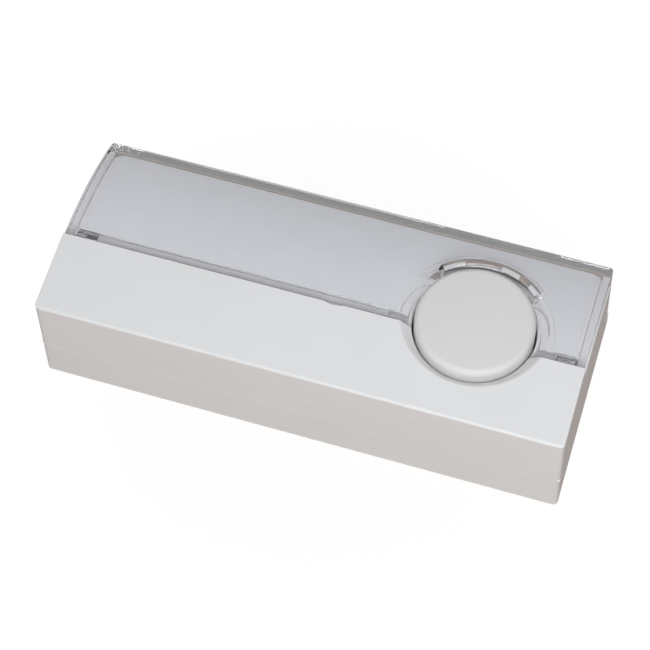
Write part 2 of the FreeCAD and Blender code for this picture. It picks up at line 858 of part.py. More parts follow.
def make_fixed_contact_strip():
    """Brass strip from the left terminal to the lamp's left tip and to the switch."""
    body = new_body("fixed_contact_strip")
    y = terminal_y
    pad_right = terminal_left + pad_half_width
    blade_back = lamp_y + blade_half
    blade_face = lamp_left + size.strip_thick / 2
    outline = [
        (left_leg, run_y - run_half),
        (button_x + strip_half_width, run_y - run_half),
        (button_x + strip_half_width, button_y + strip_half_width),
        (button_x - strip_half_width, button_y + strip_half_width),
        (button_x - strip_half_width, run_y + run_half),
        (pad_right, run_y + run_half),
        (pad_right, y + pad_half_depth),
        (blade_face, y + pad_half_depth),
        (blade_face, blade_back),
        (left_leg, blade_back),
    ]
    peg_hole = size.peg_radius + size.seat_gap
    holes = [[(x, peg_y, peg_hole)] for x, peg_y in peg_places[:2]]
    holes.append([(terminal_left, y, size.screw_radius + size.slip_gap)])
    add(body, "strip_flat", "XY", [outline] + holes, size.floor_thick, strip_top)
    add_blade(body, "left_blade", lamp_left)
    contact = [(button_x, button_y, size.contact_radius)]
    add(body, "contact_button", "XY", [contact], size.floor_thick, strip_top + size.contact_height)
    return body


def make_lamp_contact_strip():
    """Brass strip from the right terminal to the lamp's right tip and to the leaf."""
    body = new_body("lamp_contact_strip")
    y = terminal_y
    pad_left = terminal_right - pad_half_width
    pad_right = terminal_right + pad_half_width
    blade_back = lamp_y + blade_half
    blade_face = lamp_right + size.strip_thick / 2
    leg_left = blade_face - size.strip_width
    leaf_land = leaf_bend - size.leaf_thick
    outline = [
        (pad_left, y - pad_half_depth),
        (pad_right, y - pad_half_depth),
        (pad_right, button_y - leaf_half_width),
        (leaf_land, button_y - leaf_half_width),
        (leaf_land, button_y + leaf_half_width),
        (blade_face, button_y + leaf_half_width),
        (blade_face, blade_back),
        (leg_left, blade_back),
        (leg_left, button_y + leaf_half_width),
        (terminal_right, button_y + leaf_half_width),
        (terminal_right, y + pad_half_depth),
        (pad_left, y + pad_half_depth),
    ]
    holes = [[(x, peg_y, size.peg_radius + size.seat_gap)] for x, peg_y in peg_places[2:]]
    holes.append([(terminal_right, y, size.screw_radius + size.slip_gap)])
    holes.append([(rivet_x, button_y, size.rivet_radius + size.seat_gap)])
    add(body, "strip_flat_right", "XY", [outline] + holes, size.floor_thick, strip_top)
    add_blade(body, "right_blade", lamp_right)
    return body


def make_moving_contact_leaf():
    """Springy leaf, riveted at its root and cranked up under the plunger."""
    body = new_body("moving_contact_leaf")
    thick = size.leaf_thick
    root = leaf_root
    bend = leaf_bend
    crest = bend + size.leaf_crank
    tip = button_x + size.leaf_tip_overrun
    crest_low = leaf_tip_low - thick
    side = [
        (root, strip_top),
        (bend, strip_top),
        (crest, crest_low),
        (tip, leaf_tip_low),
        (tip, leaf_tip_low + thick),
        (crest - thick / 2, crest_low + thick),
        (bend - thick / 2, strip_top + thick),
        (root, strip_top + thick),
    ]
    add(body, "leaf_bend", "XZ", [side], button_y - leaf_half_width, button_y + leaf_half_width)
    hole = [(rivet_x, button_y, size.rivet_radius + size.seat_gap)]
    cut(body, "leaf_hole", "XY", [hole], strip_top, strip_top + thick)
    return body


def make_leaf_rivet():
    """Rivet that joins the leaf to the lamp strip."""
    body = new_body("leaf_rivet", (rivet_x, button_y, 0))
    head_foot = strip_top + size.leaf_thick
    crown = size.rivet_head_height / 2
    profile = [
        (0, size.floor_thick),
        (size.rivet_radius, size.floor_thick),
        (size.rivet_radius, head_foot),
        (size.rivet_head_radius, head_foot),
        (size.rivet_head_radius, head_foot + crown, crown_radius(size.rivet_head_radius, crown)),
        (0, head_foot + size.rivet_head_height),
    ]
    turn(body, "rivet", profile)
    return body


def make_lamp():
    """Festoon lamp: glass tube, two caps with pointed tips, and the wire between them."""
    centre = (lamp_x, lamp_y, size.lamp_height)
    tip_start = size.lamp_reach - size.lamp_tip_length / 2
    cap_open = tip_start - size.lamp_cap_length
    cap_floor = tip_start - size.glass_thick
    glass_end = cap_floor - size.seat_gap
    cup_radius = size.glass_radius + size.seat_gap
    glass = new_body("lamp_glass", centre)
    bore = size.glass_radius - size.glass_thick
    turn(glass, "tube", box(-glass_end, glass_end, bore, size.glass_radius), axis="H_Axis")
    filament = new_body("lamp_filament", centre)
    wire_end = cap_floor - size.seat_gap
    turn(filament, "wire", box(-wire_end, wire_end, 0, size.filament_radius), axis="H_Axis")
    pieces = [glass, filament]
    for name, sign in (("lamp_cap_left", -1), ("lamp_cap_right", 1)):
        cap = new_body(name, centre)
        profile = [
            (sign * cap_floor, 0),
            (sign * (tip_start + size.lamp_tip_length), 0),
            (sign * (tip_start + size.lamp_tip_length), size.lamp_tip_end_radius),
            (sign * tip_start, size.lamp_tip_radius),
            (sign * tip_start, size.lamp_cap_radius),
            (sign * cap_open, size.lamp_cap_radius),
            (sign * cap_open, cup_radius),
            (sign * cap_floor, cup_radius),
        ]
        turn(cap, name + "_cup", profile, axis="H_Axis")
        pieces.append(cap)
    return pieces


def make_terminal(side, place):
    """Screw, clamp washer and captive square nut of one terminal."""
    spot = (place, terminal_y, 0)
    washer_top = strip_top + size.washer_thick
    head_top = washer_top + size.screw_head_height
    crown = size.screw_slot_depth / 2
    screw = new_body("terminal_screw_" + side, spot)
    profile = [
        (0, size.slip_gap),
        (size.screw_radius, size.slip_gap),
        (size.screw_radius, washer_top),
        (size.screw_head_radius, washer_top),
        (size.screw_head_radius, head_top - crown, crown_radius(size.screw_head_radius, crown)),
        (0, head_top),
    ]
    turn(screw, "screw_" + side, profile)
    slot_half = size.screw_slot_width / 2
    slot = box(-size.screw_head_radius, size.screw_head_radius, -slot_half, slot_half)
    cut(screw, "slot_" + side, "XY", [slot], head_top - size.screw_slot_depth, head_top)
    clear = size.screw_radius + size.seat_gap
    washer = new_body("clamp_washer_" + side, spot)
    half = size.washer_side / 2
    outline = box(-half, half, -half, half)
    add(washer, "plate_" + side, "XY", [outline, [(0, 0, clear)]], strip_top, washer_top)
    nut = new_body("square_nut_" + side, spot)
    half = size.nut_side / 2
    nut_top = size.slip_gap + size.nut_thick - size.seat_gap
    outline = box(-half, half, -half, half)
    add(nut, "nut_" + side, "XY", [outline, [(0, 0, clear)]], size.slip_gap, nut_top)
    return [screw, washer, nut]


pieces = [make_base_tray(), make_front_cover(), make_name_window()]
pieces += make_card_pieces()
pieces += [make_push_button(), make_return_spring(), make_moving_contact_leaf(), make_leaf_rivet()]
pieces += [make_fixed_contact_strip(), make_lamp_contact_strip()]
pieces += make_lamp()
for side, place in zip(("left", "right"), terminal_places):
    pieces += make_terminal(side, place)
doc.recompute()

for item in doc.Objects:
    if "Invalid" in item.State or "Error" in item.State:
        raise RuntimeError("%s could not be made" % item.Name)
for piece in pieces:
    shape = piece.Shape
    if shape.isNull() or not shape.isValid():
        raise RuntimeError("%s has no sound shape" % piece.Label)
    bounds = shape.BoundBox
    print("%-22s solids %d volume %9.2f  x %6.2f %6.2f  y %6.2f %6.2f  z %6.2f %6.2f" % (
        piece.Label, len(shape.Solids), shape.Volume,
        bounds.XMin, bounds.XMax, bounds.YMin, bounds.YMax, bounds.ZMin, bounds.ZMax))

os.makedirs("parts", exist_ok=True)
for piece in pieces:
    piece.Shape.exportStep("parts/%s.step" % piece.Label)
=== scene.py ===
import math
from types import SimpleNamespace

import bmesh
import bpy
import numpy as np
from mathutils import Matrix, Vector


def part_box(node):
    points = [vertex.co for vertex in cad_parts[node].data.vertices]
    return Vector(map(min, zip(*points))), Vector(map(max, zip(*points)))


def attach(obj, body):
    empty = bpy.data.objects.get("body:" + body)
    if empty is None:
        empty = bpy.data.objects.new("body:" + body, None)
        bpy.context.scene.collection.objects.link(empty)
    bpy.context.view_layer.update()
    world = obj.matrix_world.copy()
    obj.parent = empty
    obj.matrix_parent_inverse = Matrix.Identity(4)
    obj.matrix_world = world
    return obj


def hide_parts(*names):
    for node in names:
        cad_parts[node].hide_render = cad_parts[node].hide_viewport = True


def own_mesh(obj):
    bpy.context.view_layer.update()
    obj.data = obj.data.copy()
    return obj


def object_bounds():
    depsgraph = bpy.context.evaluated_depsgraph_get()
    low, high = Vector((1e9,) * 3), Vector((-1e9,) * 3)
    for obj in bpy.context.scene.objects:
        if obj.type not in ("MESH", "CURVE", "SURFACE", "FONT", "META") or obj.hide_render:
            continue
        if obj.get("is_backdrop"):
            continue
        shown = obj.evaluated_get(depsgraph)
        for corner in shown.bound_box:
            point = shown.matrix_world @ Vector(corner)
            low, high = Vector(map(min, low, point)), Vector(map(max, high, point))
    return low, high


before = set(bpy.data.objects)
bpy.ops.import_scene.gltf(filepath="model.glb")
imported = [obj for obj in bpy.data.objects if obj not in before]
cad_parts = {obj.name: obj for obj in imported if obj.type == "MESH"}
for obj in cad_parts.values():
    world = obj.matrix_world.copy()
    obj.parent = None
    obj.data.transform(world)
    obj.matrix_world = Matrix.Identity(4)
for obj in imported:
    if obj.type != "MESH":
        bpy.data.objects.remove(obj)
CAD_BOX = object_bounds()

bl_info = {
    "name": "Illuminated Door Bell Button",
    "version": (1, 0, 0),
    "blender": (4, 5, 0),
    "location": "3D View > Sidebar > Bell Button",
    "description": "Builds the pieces, finishes and studio of a wall bell button with a lit name card",
    "category": "Object",
}

MM = 0.001
TRAY_LOW, TRAY_HIGH = (np.array(corner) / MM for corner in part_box("base_tray"))
CAP_LOW, CAP_HIGH = (np.array(corner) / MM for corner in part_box("push_button"))


# measures


def length_setting(name, description, default):
    """A length in Blender's units, with its default given in millimetres."""
    return bpy.props.FloatProperty(
        name=name, description=description, default=default * MM, min=0.0, unit="LENGTH", precision=5
    )


class BellSizes(bpy.types.PropertyGroup):
    """Sizes of the case, its window and its button."""

    length: length_setting("Length", "Along the case, at the wall", TRAY_HIGH[0] - TRAY_LOW[0])
    depth: length_setting("Depth", "From the front edge to the back edge", TRAY_HIGH[1] - TRAY_LOW[1])
    front_height: length_setting("Front height", "Where the deck would meet the front wall", 19.85)
    split: length_setting("Seam height", "Where the cover meets the tray", 8.3)
    deck_depth: length_setting("Deck depth", "From the front edge to the window", 13.1)
    wall: length_setting("Wall", "Thickness of the cover and of the clear window", 1.8)
    crease: length_setting("Crease", "Round between the front wall and the deck", 0.5)
    corner: length_setting("Corner", "Round of the upright corners", 0.8)
    dome_radius: length_setting("Window radius", "Outer radius of the window's curve", 42.3)
    dome_back: length_setting("Window back height", "Top of the window's back wall", 16.7)
    collar_radius: length_setting("Collar radius", "Outside of the clear ring round the button", 12.0)
    collar_height: length_setting("Collar height", "Top of the clear ring", 20.5)
    button_radius: length_setting("Button radius", "Outside of the push button", 9.2)
    dish_radius: length_setting("Dish radius", "Widest radius of the dish round the button", 11.3)
    button_round: length_setting("Button edge", "Round of the button's rim", 1.0)
    lamp_radius: length_setting("Lamp radius", "Outside of the lamp's glass tube", 3.2)


# fixed sizes, in millimetres, and other fixed values

SLOPE = 0.1  # rise of the deck for each millimetre of depth
LEAN = 0.0314  # lean of the ends for each millimetre of height
PLAY = 0.3  # between pieces that slide past each other
HAIR = 0.05  # between pieces that rest on each other
SEAM = 0.06  # between the deck and the window
END_WALL = 2.1
BACK_WALL, BACK_STEP = 1.6, 0.2  # the window's back wall, and how far it stands in from the tray's edge
CARD_THICK, PLATE_THICK = 0.25, 1.0
CARD_SET_BACK = 2.1  # from the deck's edge to the card
DISH_DEPTH = 1.6
RETURN_DEPTH = 2.95  # the window's end walls, down from its top
SHELF_WIDTH, NARROW_SHELF, SHELF_THICK = 2.6, 0.25, 1.4
DECK_LIP = 2.0  # height of the deck's rear face
PAD_HEIGHT, PAD_STEP = 1.15, 0.25
LUG_SLOT = 3.6  # length of the slots for the window's lugs, at both ends of the shelf
NOTCH_X, NOTCH_HALF, NOTCH_RADIUS = 2.4, 1.5, 3.9
TUBE_WALL, TUBE_FOOT, TUBE_TOP = 1.0, 11.45, 17.3
COLLAR_LUGS = ((121.0, 9.0), (75.0, 8.0), (51.5, 5.0))  # heading and half width, in degrees
LUG_RADIUS, LUG_THICK = 11.45, 0.55
LUG_FOOT, LUG_POST = (15.3, 16.3), (15.4, 19.55)  # low and high
GROOVE = (43.0, 133.0)  # the lugs' groove under the collar runs between these headings, in degrees
GROOVE_INSIDE, GROOVE_OUTSIDE, GROOVE_ROOF = 10.65, 11.7, 0.7  # two radii, and the plastic over it
CAP_THICK, CROWN, SKIRT_FOOT, SKIRT_WALL = 1.8, 0.25, 10.2, 1.2
SOFT_EDGE = 0.12  # round of the cover's small edges
COVER_BACK_WALL, COVER_BACK_FOOT = 1.4, 3.0
WINDOW_REACH = 12.95  # half the width of the window's patch that carries the collar
WINDOW_FOOT, WINDOW_ROUND = 2.85, 0.3
WINDOW_END, WINDOW_END_STEP = 1.3, 0.2  # length of the rolled ends, and how far they stand in
WINDOW_LUG = 2.15  # from the shelf's top down to the foot of the window's lugs
SPRING_SEAT, LEAF_SEAT = 9.5, 3.0
CRISP_ANGLE = 35.0
SENSOR = 36.0
FOCAL_PIXELS, PICTURE_PIXELS = 2018.0, 650.0  # focal length and width of the photograph, in pixels
WHITE = (1.0, 1.0, 1.0)
CLEAR_BOUNCES = 24  # enough for light to get out of the clear collar again


def measures(context):
    """The sizes in millimetres as plain numbers, with those that follow from them."""
    group = context.scene.bell_sizes
    m = SimpleNamespace(**{name: getattr(group, name) / MM for name in group.__annotations__})
    m.half, m.front = m.length / 2, -m.depth / 2
    m.button = (CAP_LOW + CAP_HIGH) / 2
    m.edge = m.front + m.deck_depth
    m.edge_height = m.front_height + SLOPE * m.deck_depth
    m.inner_front = m.front + m.wall
    m.room = m.half - END_WALL
    m.window_front, m.window_back = m.edge + SEAM, m.depth / 2 - BACK_STEP
    m.window_inner = m.window_back - BACK_WALL
    m.cover_back = m.window_inner - PLAY
    run, fall = m.window_back - m.edge, m.dome_back - m.edge_height
    chord = math.hypot(run, fall)
    rise = math.sqrt(m.dome_radius**2 - chord**2 / 4)
    m.dome_y = (m.edge + m.window_back) / 2 + fall / chord * rise
    m.dome_z = (m.edge_height + m.dome_back) / 2 - run / chord * rise
    m.clear_inner = m.dome_radius - m.wall
    m.card_radius = m.clear_inner - PLAY
    m.plate_radius = m.card_radius - CARD_THICK - HAIR / 2
    m.ledge_radius = m.plate_radius - PLATE_THICK - HAIR
    m.return_radius = m.dome_radius - RETURN_DEPTH
    m.end_radius = m.return_radius - HAIR
    m.shelf_back = m.edge + SHELF_WIDTH
    m.shelf_top = dome(m, m.ledge_radius, m.shelf_back)
    m.card_front = m.edge + CARD_SET_BACK
    m.tube = m.button_radius + PLAY
    m.funnel_foot = m.edge_height - DISH_DEPTH
    m.flare = (m.dish_radius - m.tube) / DISH_DEPTH
    m.pad_top = m.shelf_top + PAD_HEIGHT
    return m


def dome(m, radius, y):
    """Height at y of the round sheet of that radius: dome_z + sqrt(radius^2 - (y - dome_y)^2)."""
    return m.dome_z + np.sqrt(radius**2 - (y - m.dome_y) ** 2)


def end_x(m, z, inset):
    """Half length of the case at a height, less inset. The ends lean in by LEAN times the height."""
    return m.half - inset - LEAN * z


# surfaces


def grid_of(x, y, z):
    """Points (..., 3) from three coordinates, some of which may be single numbers or rows."""
    return np.stack(np.broadcast_arrays(x, y, z), axis=-1)


def upright(x, outline):
    """An outline (n, 2) of y and z, set up at x."""
    return grid_of(x, outline[..., 0], outline[..., 1])


def unit(vectors):
    """Vectors of length one. A vector of no length stays as it is."""
    return vectors / np.maximum(np.linalg.norm(vectors, axis=-1, keepdims=True), 1e-9)


def rounded(corners, radii, steps=3):
    """Closed loops (..., n, 2 or 3) with their corners turned round.

    With a as half the angle between a corner's sides and t = pi - 2a, the arc's centre lies
    radius / sin(a) inside the corner, the arc starts radius / tan(a) before it, and its points are
    (sin((1 - s) t) start + sin(s t) end) / sin(t) from the centre, for s from 0 to 1.
    """
    corners = np.asarray(corners, float)
    share = np.linspace(0.0, 1.0, steps + 1)[:, None]
    count = corners.shape[-2]
    runs = []
    for index, radius in enumerate(radii):
        here = corners[..., index, :]
        if np.ndim(radius) == 0 and radius == 0:
            runs.append(here[..., None, :])
            continue
        before = unit(corners[..., index - 1, :] - here)
        after = unit(corners[..., (index + 1) % count, :] - here)
        half = np.arccos(np.clip((before * after).sum(-1), -0.9999, 0.9999)) / 2
        centre = unit(before + after) * (radius / np.sin(half))[..., None]
        setback = (radius / np.tan(half))[..., None]
        start, end = before * setback - centre, after * setback - centre
        turn = (math.pi - 2 * half)[..., None, None]
        arc = np.sin((1 - share) * turn) * start[..., None, :] + np.sin(share * turn) * end[..., None, :]
        runs.append((here + centre)[..., None, :] + arc / np.sin(turn))
    return np.concatenate(runs, axis=-2)


def closed(loops):
    """Loops with their first point again at the end."""
    return np.concatenate([loops, loops[..., :1, :]], axis=-2)


def outward(outline):
    """Unit normals of a closed outline (n, 2), away from its inside."""
    ahead, behind = np.roll(outline, -1, axis=0), np.roll(outline, 1, axis=0)
    along = unit(unit(ahead - outline) + unit(outline - behind))
    area = (outline[:, 0] * ahead[:, 1] - outline[:, 1] * ahead[:, 0]).sum()
    return np.stack([along[:, 1], -along[:, 0]], axis=-1) * np.sign(area)


def bar(outline, low, high, roll=0.0, place=lambda local: local, between=2):
    """A closed outline (n, 2) carried straight from low to high, its ends rolled in.

    At the angle t of the roll, an end lies roll (1 - sin t) inside the limit, and the outline is
    drawn in by roll (1 - cos t). Between the rolls stand (between - 2) more sections. place() sets the
    points (s, u, v) up in the part. The result is the grid and the two flat end faces.
    """
    t = np.linspace(math.pi / 2, 0.0, 4) if roll else np.array([0.0])
    inset, along = roll * (1 - np.cos(t)), roll * (1 - np.sin(t))
    middle = np.linspace(low + along[-1], high - along[-1], between)[1:-1]
    spots = np.concatenate([low + along, middle, (high - along)[::-1]])
    insets = np.concatenate([inset, 0.0 * middle, inset[::-1]])
    rings = outline[None] - outward(outline)[None] * insets[:, None, None]
    made = place(upright(spots[:, None], rings))
    return closed(made), [made[0], made[-1]]


def lathe(profile, centre, count, axis=2):
    """A profile (n, 2) of radius and place along the axis, turned full circle round that axis."""
    angle = np.linspace(0.0, 2 * math.pi, count + 1)[:, None]
    radius, along = profile[None, :, 0], profile[None, :, 1]
    turned = [radius * np.cos(angle), radius * np.sin(angle)]
    turned.insert(axis, np.broadcast_to(along, turned[0].shape))
    return np.stack(turned, axis=-1) + np.asarray(centre, float)


def tube(path, radius, count=12):
    """A round wire along a path (n, 3): path + radius (cos t across + sin t above), with flat ends."""
    along = unit(np.gradient(path, axis=0))
    above = unit(np.cross(along, unit(np.cross(np.array([0.31, 0.52, 0.8]), along))))
    across = np.cross(along, above)
    t = np.linspace(0.0, 2 * math.pi, count + 1)[:-1]
    rings = path[:, None] + radius * (
        np.cos(t)[None, :, None] * across[:, None] + np.sin(t)[None, :, None] * above[:, None]
    )
    return closed(rings), [rings[0], rings[-1]]


def shell_object(name, grids, faces=(), sealed=True, flat=True):
    """One mesh from grids of points in millimetres, and from single flat faces given by their corners.

    A grid is an array (rows, columns, 3). Shared edges are merged, faces point outwards, and edges
    over CRISP_ANGLE stay crisp. With sealed on, an open edge is an error. With flat on, wide faces
    rule the shading next to narrow rounds.
    """
    points, quads, start = [], [], 0
    for grid in grids:
        rows, columns = grid.shape[:2]
        index = start + np.arange(rows * columns).reshape(rows, columns)
        corners = (index[:-1, :-1], index[1:, :-1], index[1:, 1:], index[:-1, 1:])
        quads.append(np.stack([corner.ravel() for corner in corners], axis=-1))
        points.append(grid.reshape(-1, 3))
        start += rows * columns
    polygons = np.concatenate(quads).tolist()
    for face in faces:
        polygons.append(list(range(start, start + len(face))))
        points.append(np.asarray(face, float))
        start += len(face)
    mesh = bpy.data.meshes.new(name)
    mesh.from_pydata(np.concatenate(points) * MM, [], polygons)
    made = bmesh.new()
    made.from_mesh(mesh)
    bmesh.ops.remove_doubles(made, verts=made.verts, dist=2e-7)
    bmesh.ops.dissolve_degenerate(made, edges=made.edges, dist=1e-8)
    if sealed:
        open_edges = [edge for edge in made.edges if len(edge.link_faces) != 2]
        if open_edges:
            spots = sorted({tuple(round(c / MM, 2) for c in edge.verts[0].co) for edge in open_edges})
            raise RuntimeError("%s is open at %d edges: %s" % (name, len(open_edges), spots[:12]))
        bmesh.ops.recalc_face_normals(made, faces=made.faces)
    made.to_mesh(mesh)
    made.free()
    mesh.shade_smooth()
    mesh.set_sharp_from_angle(angle=math.radians(CRISP_ANGLE))
    thing = bpy.data.objects.new(name, mesh)
    bpy.context.scene.collection.objects.link(thing)
    if flat:
        steady = thing.modifiers.new("steady_normals", "WEIGHTED_NORMAL")
        steady.weight, steady.keep_sharp = 100, True
    return thing


def fit(piece, node, body, slot):
    """Gives a piece the finish of its slot, and sets it in the place of its solid."""
    piece.data.materials.append(finish_of(slot))
    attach(piece, body)
    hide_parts(node)


# shader sums


class Wire:
    """A shader socket in a sum. Each operator adds the Math node that works it out."""

    def __init__(self, recipe, socket):
        self.recipe = recipe
        self.socket = socket

    def _math(self, operation, *values):
        return self.recipe.node("ShaderNodeMath", {"operation": operation}, dict(enumerate(values)))

    def __add__(self, other):
        return self._math("ADD", self, other)

    __radd__ = __add__

    def __sub__(self, other):
        return self._math("SUBTRACT", self, other)

    def __rsub__(self, other):
        return self._math("SUBTRACT", other, self)

    def __mul__(self, other):
        return self._math("MULTIPLY", self, other)

    __rmul__ = __mul__

    def __pow__(self, other):
        return self._math("POWER", self, other)

    def ramp(self, start, end):
        """0 before start, 1 after end, with a smooth rise between them."""
        settings = {"interpolation_type": "SMOOTHSTEP"}
        return self.recipe.node("ShaderNodeMapRange", settings, {0: self, 1: start, 2: end, 3: 0.0, 4: 1.0})


class Recipe:
    """The nodes of one finish. node() makes any node and hands back its output as a Wire."""

    def __init__(self, tree):
        self.tree = tree
        tree.nodes.clear()

    def node(self, kind, settings=None, values=None, output=0):
        made = self.tree.nodes.new(kind)
        for name, value in (settings or {}).items():
            setattr(made, name, value)
        for name, value in (values or {}).items():
            socket = made.inputs[name]
            if isinstance(value, Wire):
                self.tree.links.new(value.socket, socket)
            elif socket.type == "RGBA" and len(value) == 3:
                socket.default_value = (*value, 1.0)
            else:
                socket.default_value = value
        return Wire(self, made.outputs[output]) if made.outputs else made

    def place(self, turn=None):
        """Object coordinates, turned where angles are given."""
        spot = self.node("ShaderNodeTexCoord", output="Object")
        if turn is None:
            return spot
        return self.node("ShaderNodeMapping", None, {"Vector": spot, "Rotation": turn})

    def outputs(self, kind, names, values=None):
        """Several outputs of one new node."""
        made = self.node(kind, None, values).socket.node
        return [Wire(self, made.outputs[name]) for name in names]

    def stretch(self, spot, scale):
        """A place with its axes scaled each on its own."""
        return self.node("ShaderNodeVectorMath", {"operation": "MULTIPLY"}, {0: spot, 1: scale})

    def noise(self, spot, size, detail=2.0, roughness=0.5):
        """Cloudy noise from 0 to 1, with features about size metres across."""
        values = {"Vector": spot, "Scale": 1.0 / size, "Detail": detail, "Roughness": roughness}
        return self.node("ShaderNodeTexNoise", None, values)

    def mix(self, share, first, second):
        """A colour that goes from first to second as share goes from 0 to 1."""
        return self.node("ShaderNodeMix", {"data_type": "RGBA"}, {0: share, 6: first, 7: second}, output=2)

    def bump(self, height, depth):
        """The normal of a relief depth metres high."""
        return self.node("ShaderNodeBump", None, {"Height": height, "Distance": depth})

    def principled(self, **values):
        """The main shader, with its inputs given by name and _ in place of a space."""
        named = {name.replace("_", " "): value for name, value in values.items()}
        return self.node("ShaderNodeBsdfPrincipled", None, named)

    def let_lamps_through(self, solid, tint):
        """Ends a clear finish: light that falls on what is behind it passes straight, and sight is bent."""
        lamp_ray, soft_ray = self.outputs("ShaderNodeLightPath", ("Is Shadow Ray", "Is Diffuse Ray"))
        through = self.node("ShaderNodeBsdfTransparent", None, {"Color": tint})
        self.finish(self.node("ShaderNodeMixShader", None, {0: lamp_ray + soft_ray, 1: solid, 2: through}))

    def finish(self, shader):
        self.node("ShaderNodeOutputMaterial", None, {"Surface": shader})


def new_finish(name):
    """An empty material and the recipe that fills it."""
    material = bpy.data.materials.new(name)
    material.use_nodes = True
    return material, Recipe(material.node_tree)


# finishes


def moulded_plastic(name, colour, shade, roughness):
    """Satin moulded plastic: faint flow clouds, fine spark grain, rubbed patches and hair scratches."""
    material, recipe = new_finish(name)
    spot = recipe.place()
    clouds = recipe.noise(spot, 0.018, 3.0)
    speck = recipe.noise(spot, 0.0007, 2.0, 0.6)
    grain = recipe.noise(spot, 0.00022, 3.0, 0.65)
    rubbed = recipe.noise(spot, 0.009, 4.0, 0.6).ramp(0.45, 0.7)
    hairs = recipe.noise(recipe.stretch(recipe.place(turn=(0.0, 0.0, 0.5)), (30.0, 700.0, 300.0)), 1.0, 1.0)
    hair = hairs.ramp(0.71, 0.76) * recipe.noise(spot, 0.012).ramp(0.5, 0.62)
    tone = clouds * 0.55 + speck * 0.3 + hair * 0.5
    base = recipe.mix(tone.ramp(0.2, 0.85), colour, shade)
    shine = rubbed * -0.07 + grain * 0.1 + hair * 0.15 + roughness
    relief = recipe.bump(grain + speck * 0.8 + clouds * 3.0 + hair * -1.5, 0.000012)
    recipe.finish(recipe.principled(Base_Color=base, Roughness=shine, Normal=relief, IOR=1.5))
    return material


def clear_plastic(name, tint):
    """Clear moulded plastic that lets lamps through, with ripples and fine wear."""
    material, recipe = new_finish(name)
    spot = recipe.place()
    ripple = recipe.noise(spot, 0.006, 2.0)
    wear = recipe.noise(spot, 0.0016, 4.0, 0.6).ramp(0.5, 0.8)
    shine = wear * 0.05 + 0.03
    relief = recipe.bump(ripple, 0.00002)
    solid = recipe.principled(
        Base_Color=tint, Roughness=shine, Normal=relief, IOR=1.49, Transmission_Weight=1.0
    )
    recipe.let_lamps_through(solid, (0.965, 0.963, 0.97))
    return material


def opal_plastic(name, colour):
    """Milky plastic that light soaks into, with a faint wavy surface."""
    material, recipe = new_finish(name)
    spot = recipe.place()
    milk = recipe.noise(spot, 0.007, 3.0)
    grain = recipe.noise(spot, 0.0004, 2.0)
    base = recipe.mix(milk.ramp(0.3, 0.7), colour, [tone * 0.97 for tone in colour])
    relief = recipe.bump(grain + milk * 2.0, 0.00001)
    recipe.finish(recipe.principled(
        Base_Color=base, Roughness=grain * 0.1 + 0.32, Normal=relief, Subsurface_Weight=0.4,
        Subsurface_Radius=(0.001, 0.001, 0.001),
    ))
    return material


def card_paper(name, colour):
    """Smooth card with fine fibres and faint mottling."""
    material, recipe = new_finish(name)
    spot = recipe.place()
    mottle = recipe.noise(spot, 0.004, 4.0, 0.6)
    fibre = recipe.noise(recipe.stretch(spot, (900.0, 3500.0, 900.0)), 1.0, 3.0)
    base = recipe.mix((mottle * 0.6 + fibre * 0.4).ramp(0.3, 0.7), colour, [tone * 0.965 for tone in colour])
    relief = recipe.bump(fibre + mottle, 0.000012)
    recipe.finish(recipe.principled(Base_Color=base, Roughness=fibre * 0.15 + 0.6, Normal=relief))
    return material


def bright_metal(name, colour, tarnish, roughness, brush):
    """Rolled or drawn metal: brush lines along one axis, tarnish clouds and small dents."""
    material, recipe = new_finish(name)
    spot = recipe.place()
    lines = recipe.noise(recipe.stretch(spot, brush), 1.0, 3.0, 0.6)
    clouds = recipe.noise(spot, 0.003, 4.0, 0.6).ramp(0.4, 0.75)
    dents = recipe.noise(spot, 0.0009, 2.0)
    base = recipe.mix(clouds * 0.7 + lines * 0.3, colour, tarnish)
    relief = recipe.bump(lines * 0.6 + dents, 0.00001)
    shine = clouds * 0.18 + lines * 0.12 + roughness
    recipe.finish(recipe.principled(Base_Color=base, Metallic=1.0, Roughness=shine, Normal=relief))
    return material


def lamp_glass(name, tint):
    """Thin drawn glass with faint streaks along the tube."""
    material, recipe = new_finish(name)
    streaks = recipe.noise(recipe.stretch(recipe.place(), (60.0, 900.0, 900.0)), 1.0, 2.0)
    relief = recipe.bump(streaks, 0.000004)
    solid = recipe.principled(
        Base_Color=tint, Roughness=streaks * 0.02 + 0.01, Normal=relief, IOR=1.5, Transmission_Weight=1.0
    )
    recipe.let_lamps_through(solid, (0.95, 0.95, 0.95))
    return material


# settings


def angle_setting(name, description, degrees):
    """An angle, with its default given in degrees."""
    return bpy.props.FloatProperty(
        name=name, description=description, default=math.radians(degrees), subtype="ANGLE"
    )


def power_setting(name, description, default):
    """A lamp's power in watts, or the strength of the even light."""
    return bpy.props.FloatProperty(name=name, description=description, default=default, min=0.0)


def colour_setting(name, description, default):
    """A colour that a user would change."""
    return bpy.props.FloatVectorProperty(
        name=name, description=description, default=default, size=3, subtype="COLOR", min=0.0, max=1.0
    )


class BellFinishes(bpy.types.PropertyGroup):
    """Colours of the bell button's finishes."""

    white: colour_setting("Case", "White plastic of the tray and cover", (0.80, 0.80, 0.805))
    white_shade: colour_setting("Case shade", "Duller tone in the white plastic", (0.765, 0.765, 0.765))
    ivory: colour_setting("Button", "Ivory plastic of the push button", (0.745, 0.735, 0.722))
    ivory_shade: colour_setting("Button shade", "Duller tone in the ivory plastic", (0.72, 0.705, 0.685))
    clear: colour_setting("Window", "Tint of the clear plastic", (0.965, 0.968, 0.98))
    opal: colour_setting("Diffuser", "Milky plastic under the card", (0.82, 0.82, 0.82))
    card: colour_setting("Card", "Blank name card", (0.80, 0.81, 0.83))


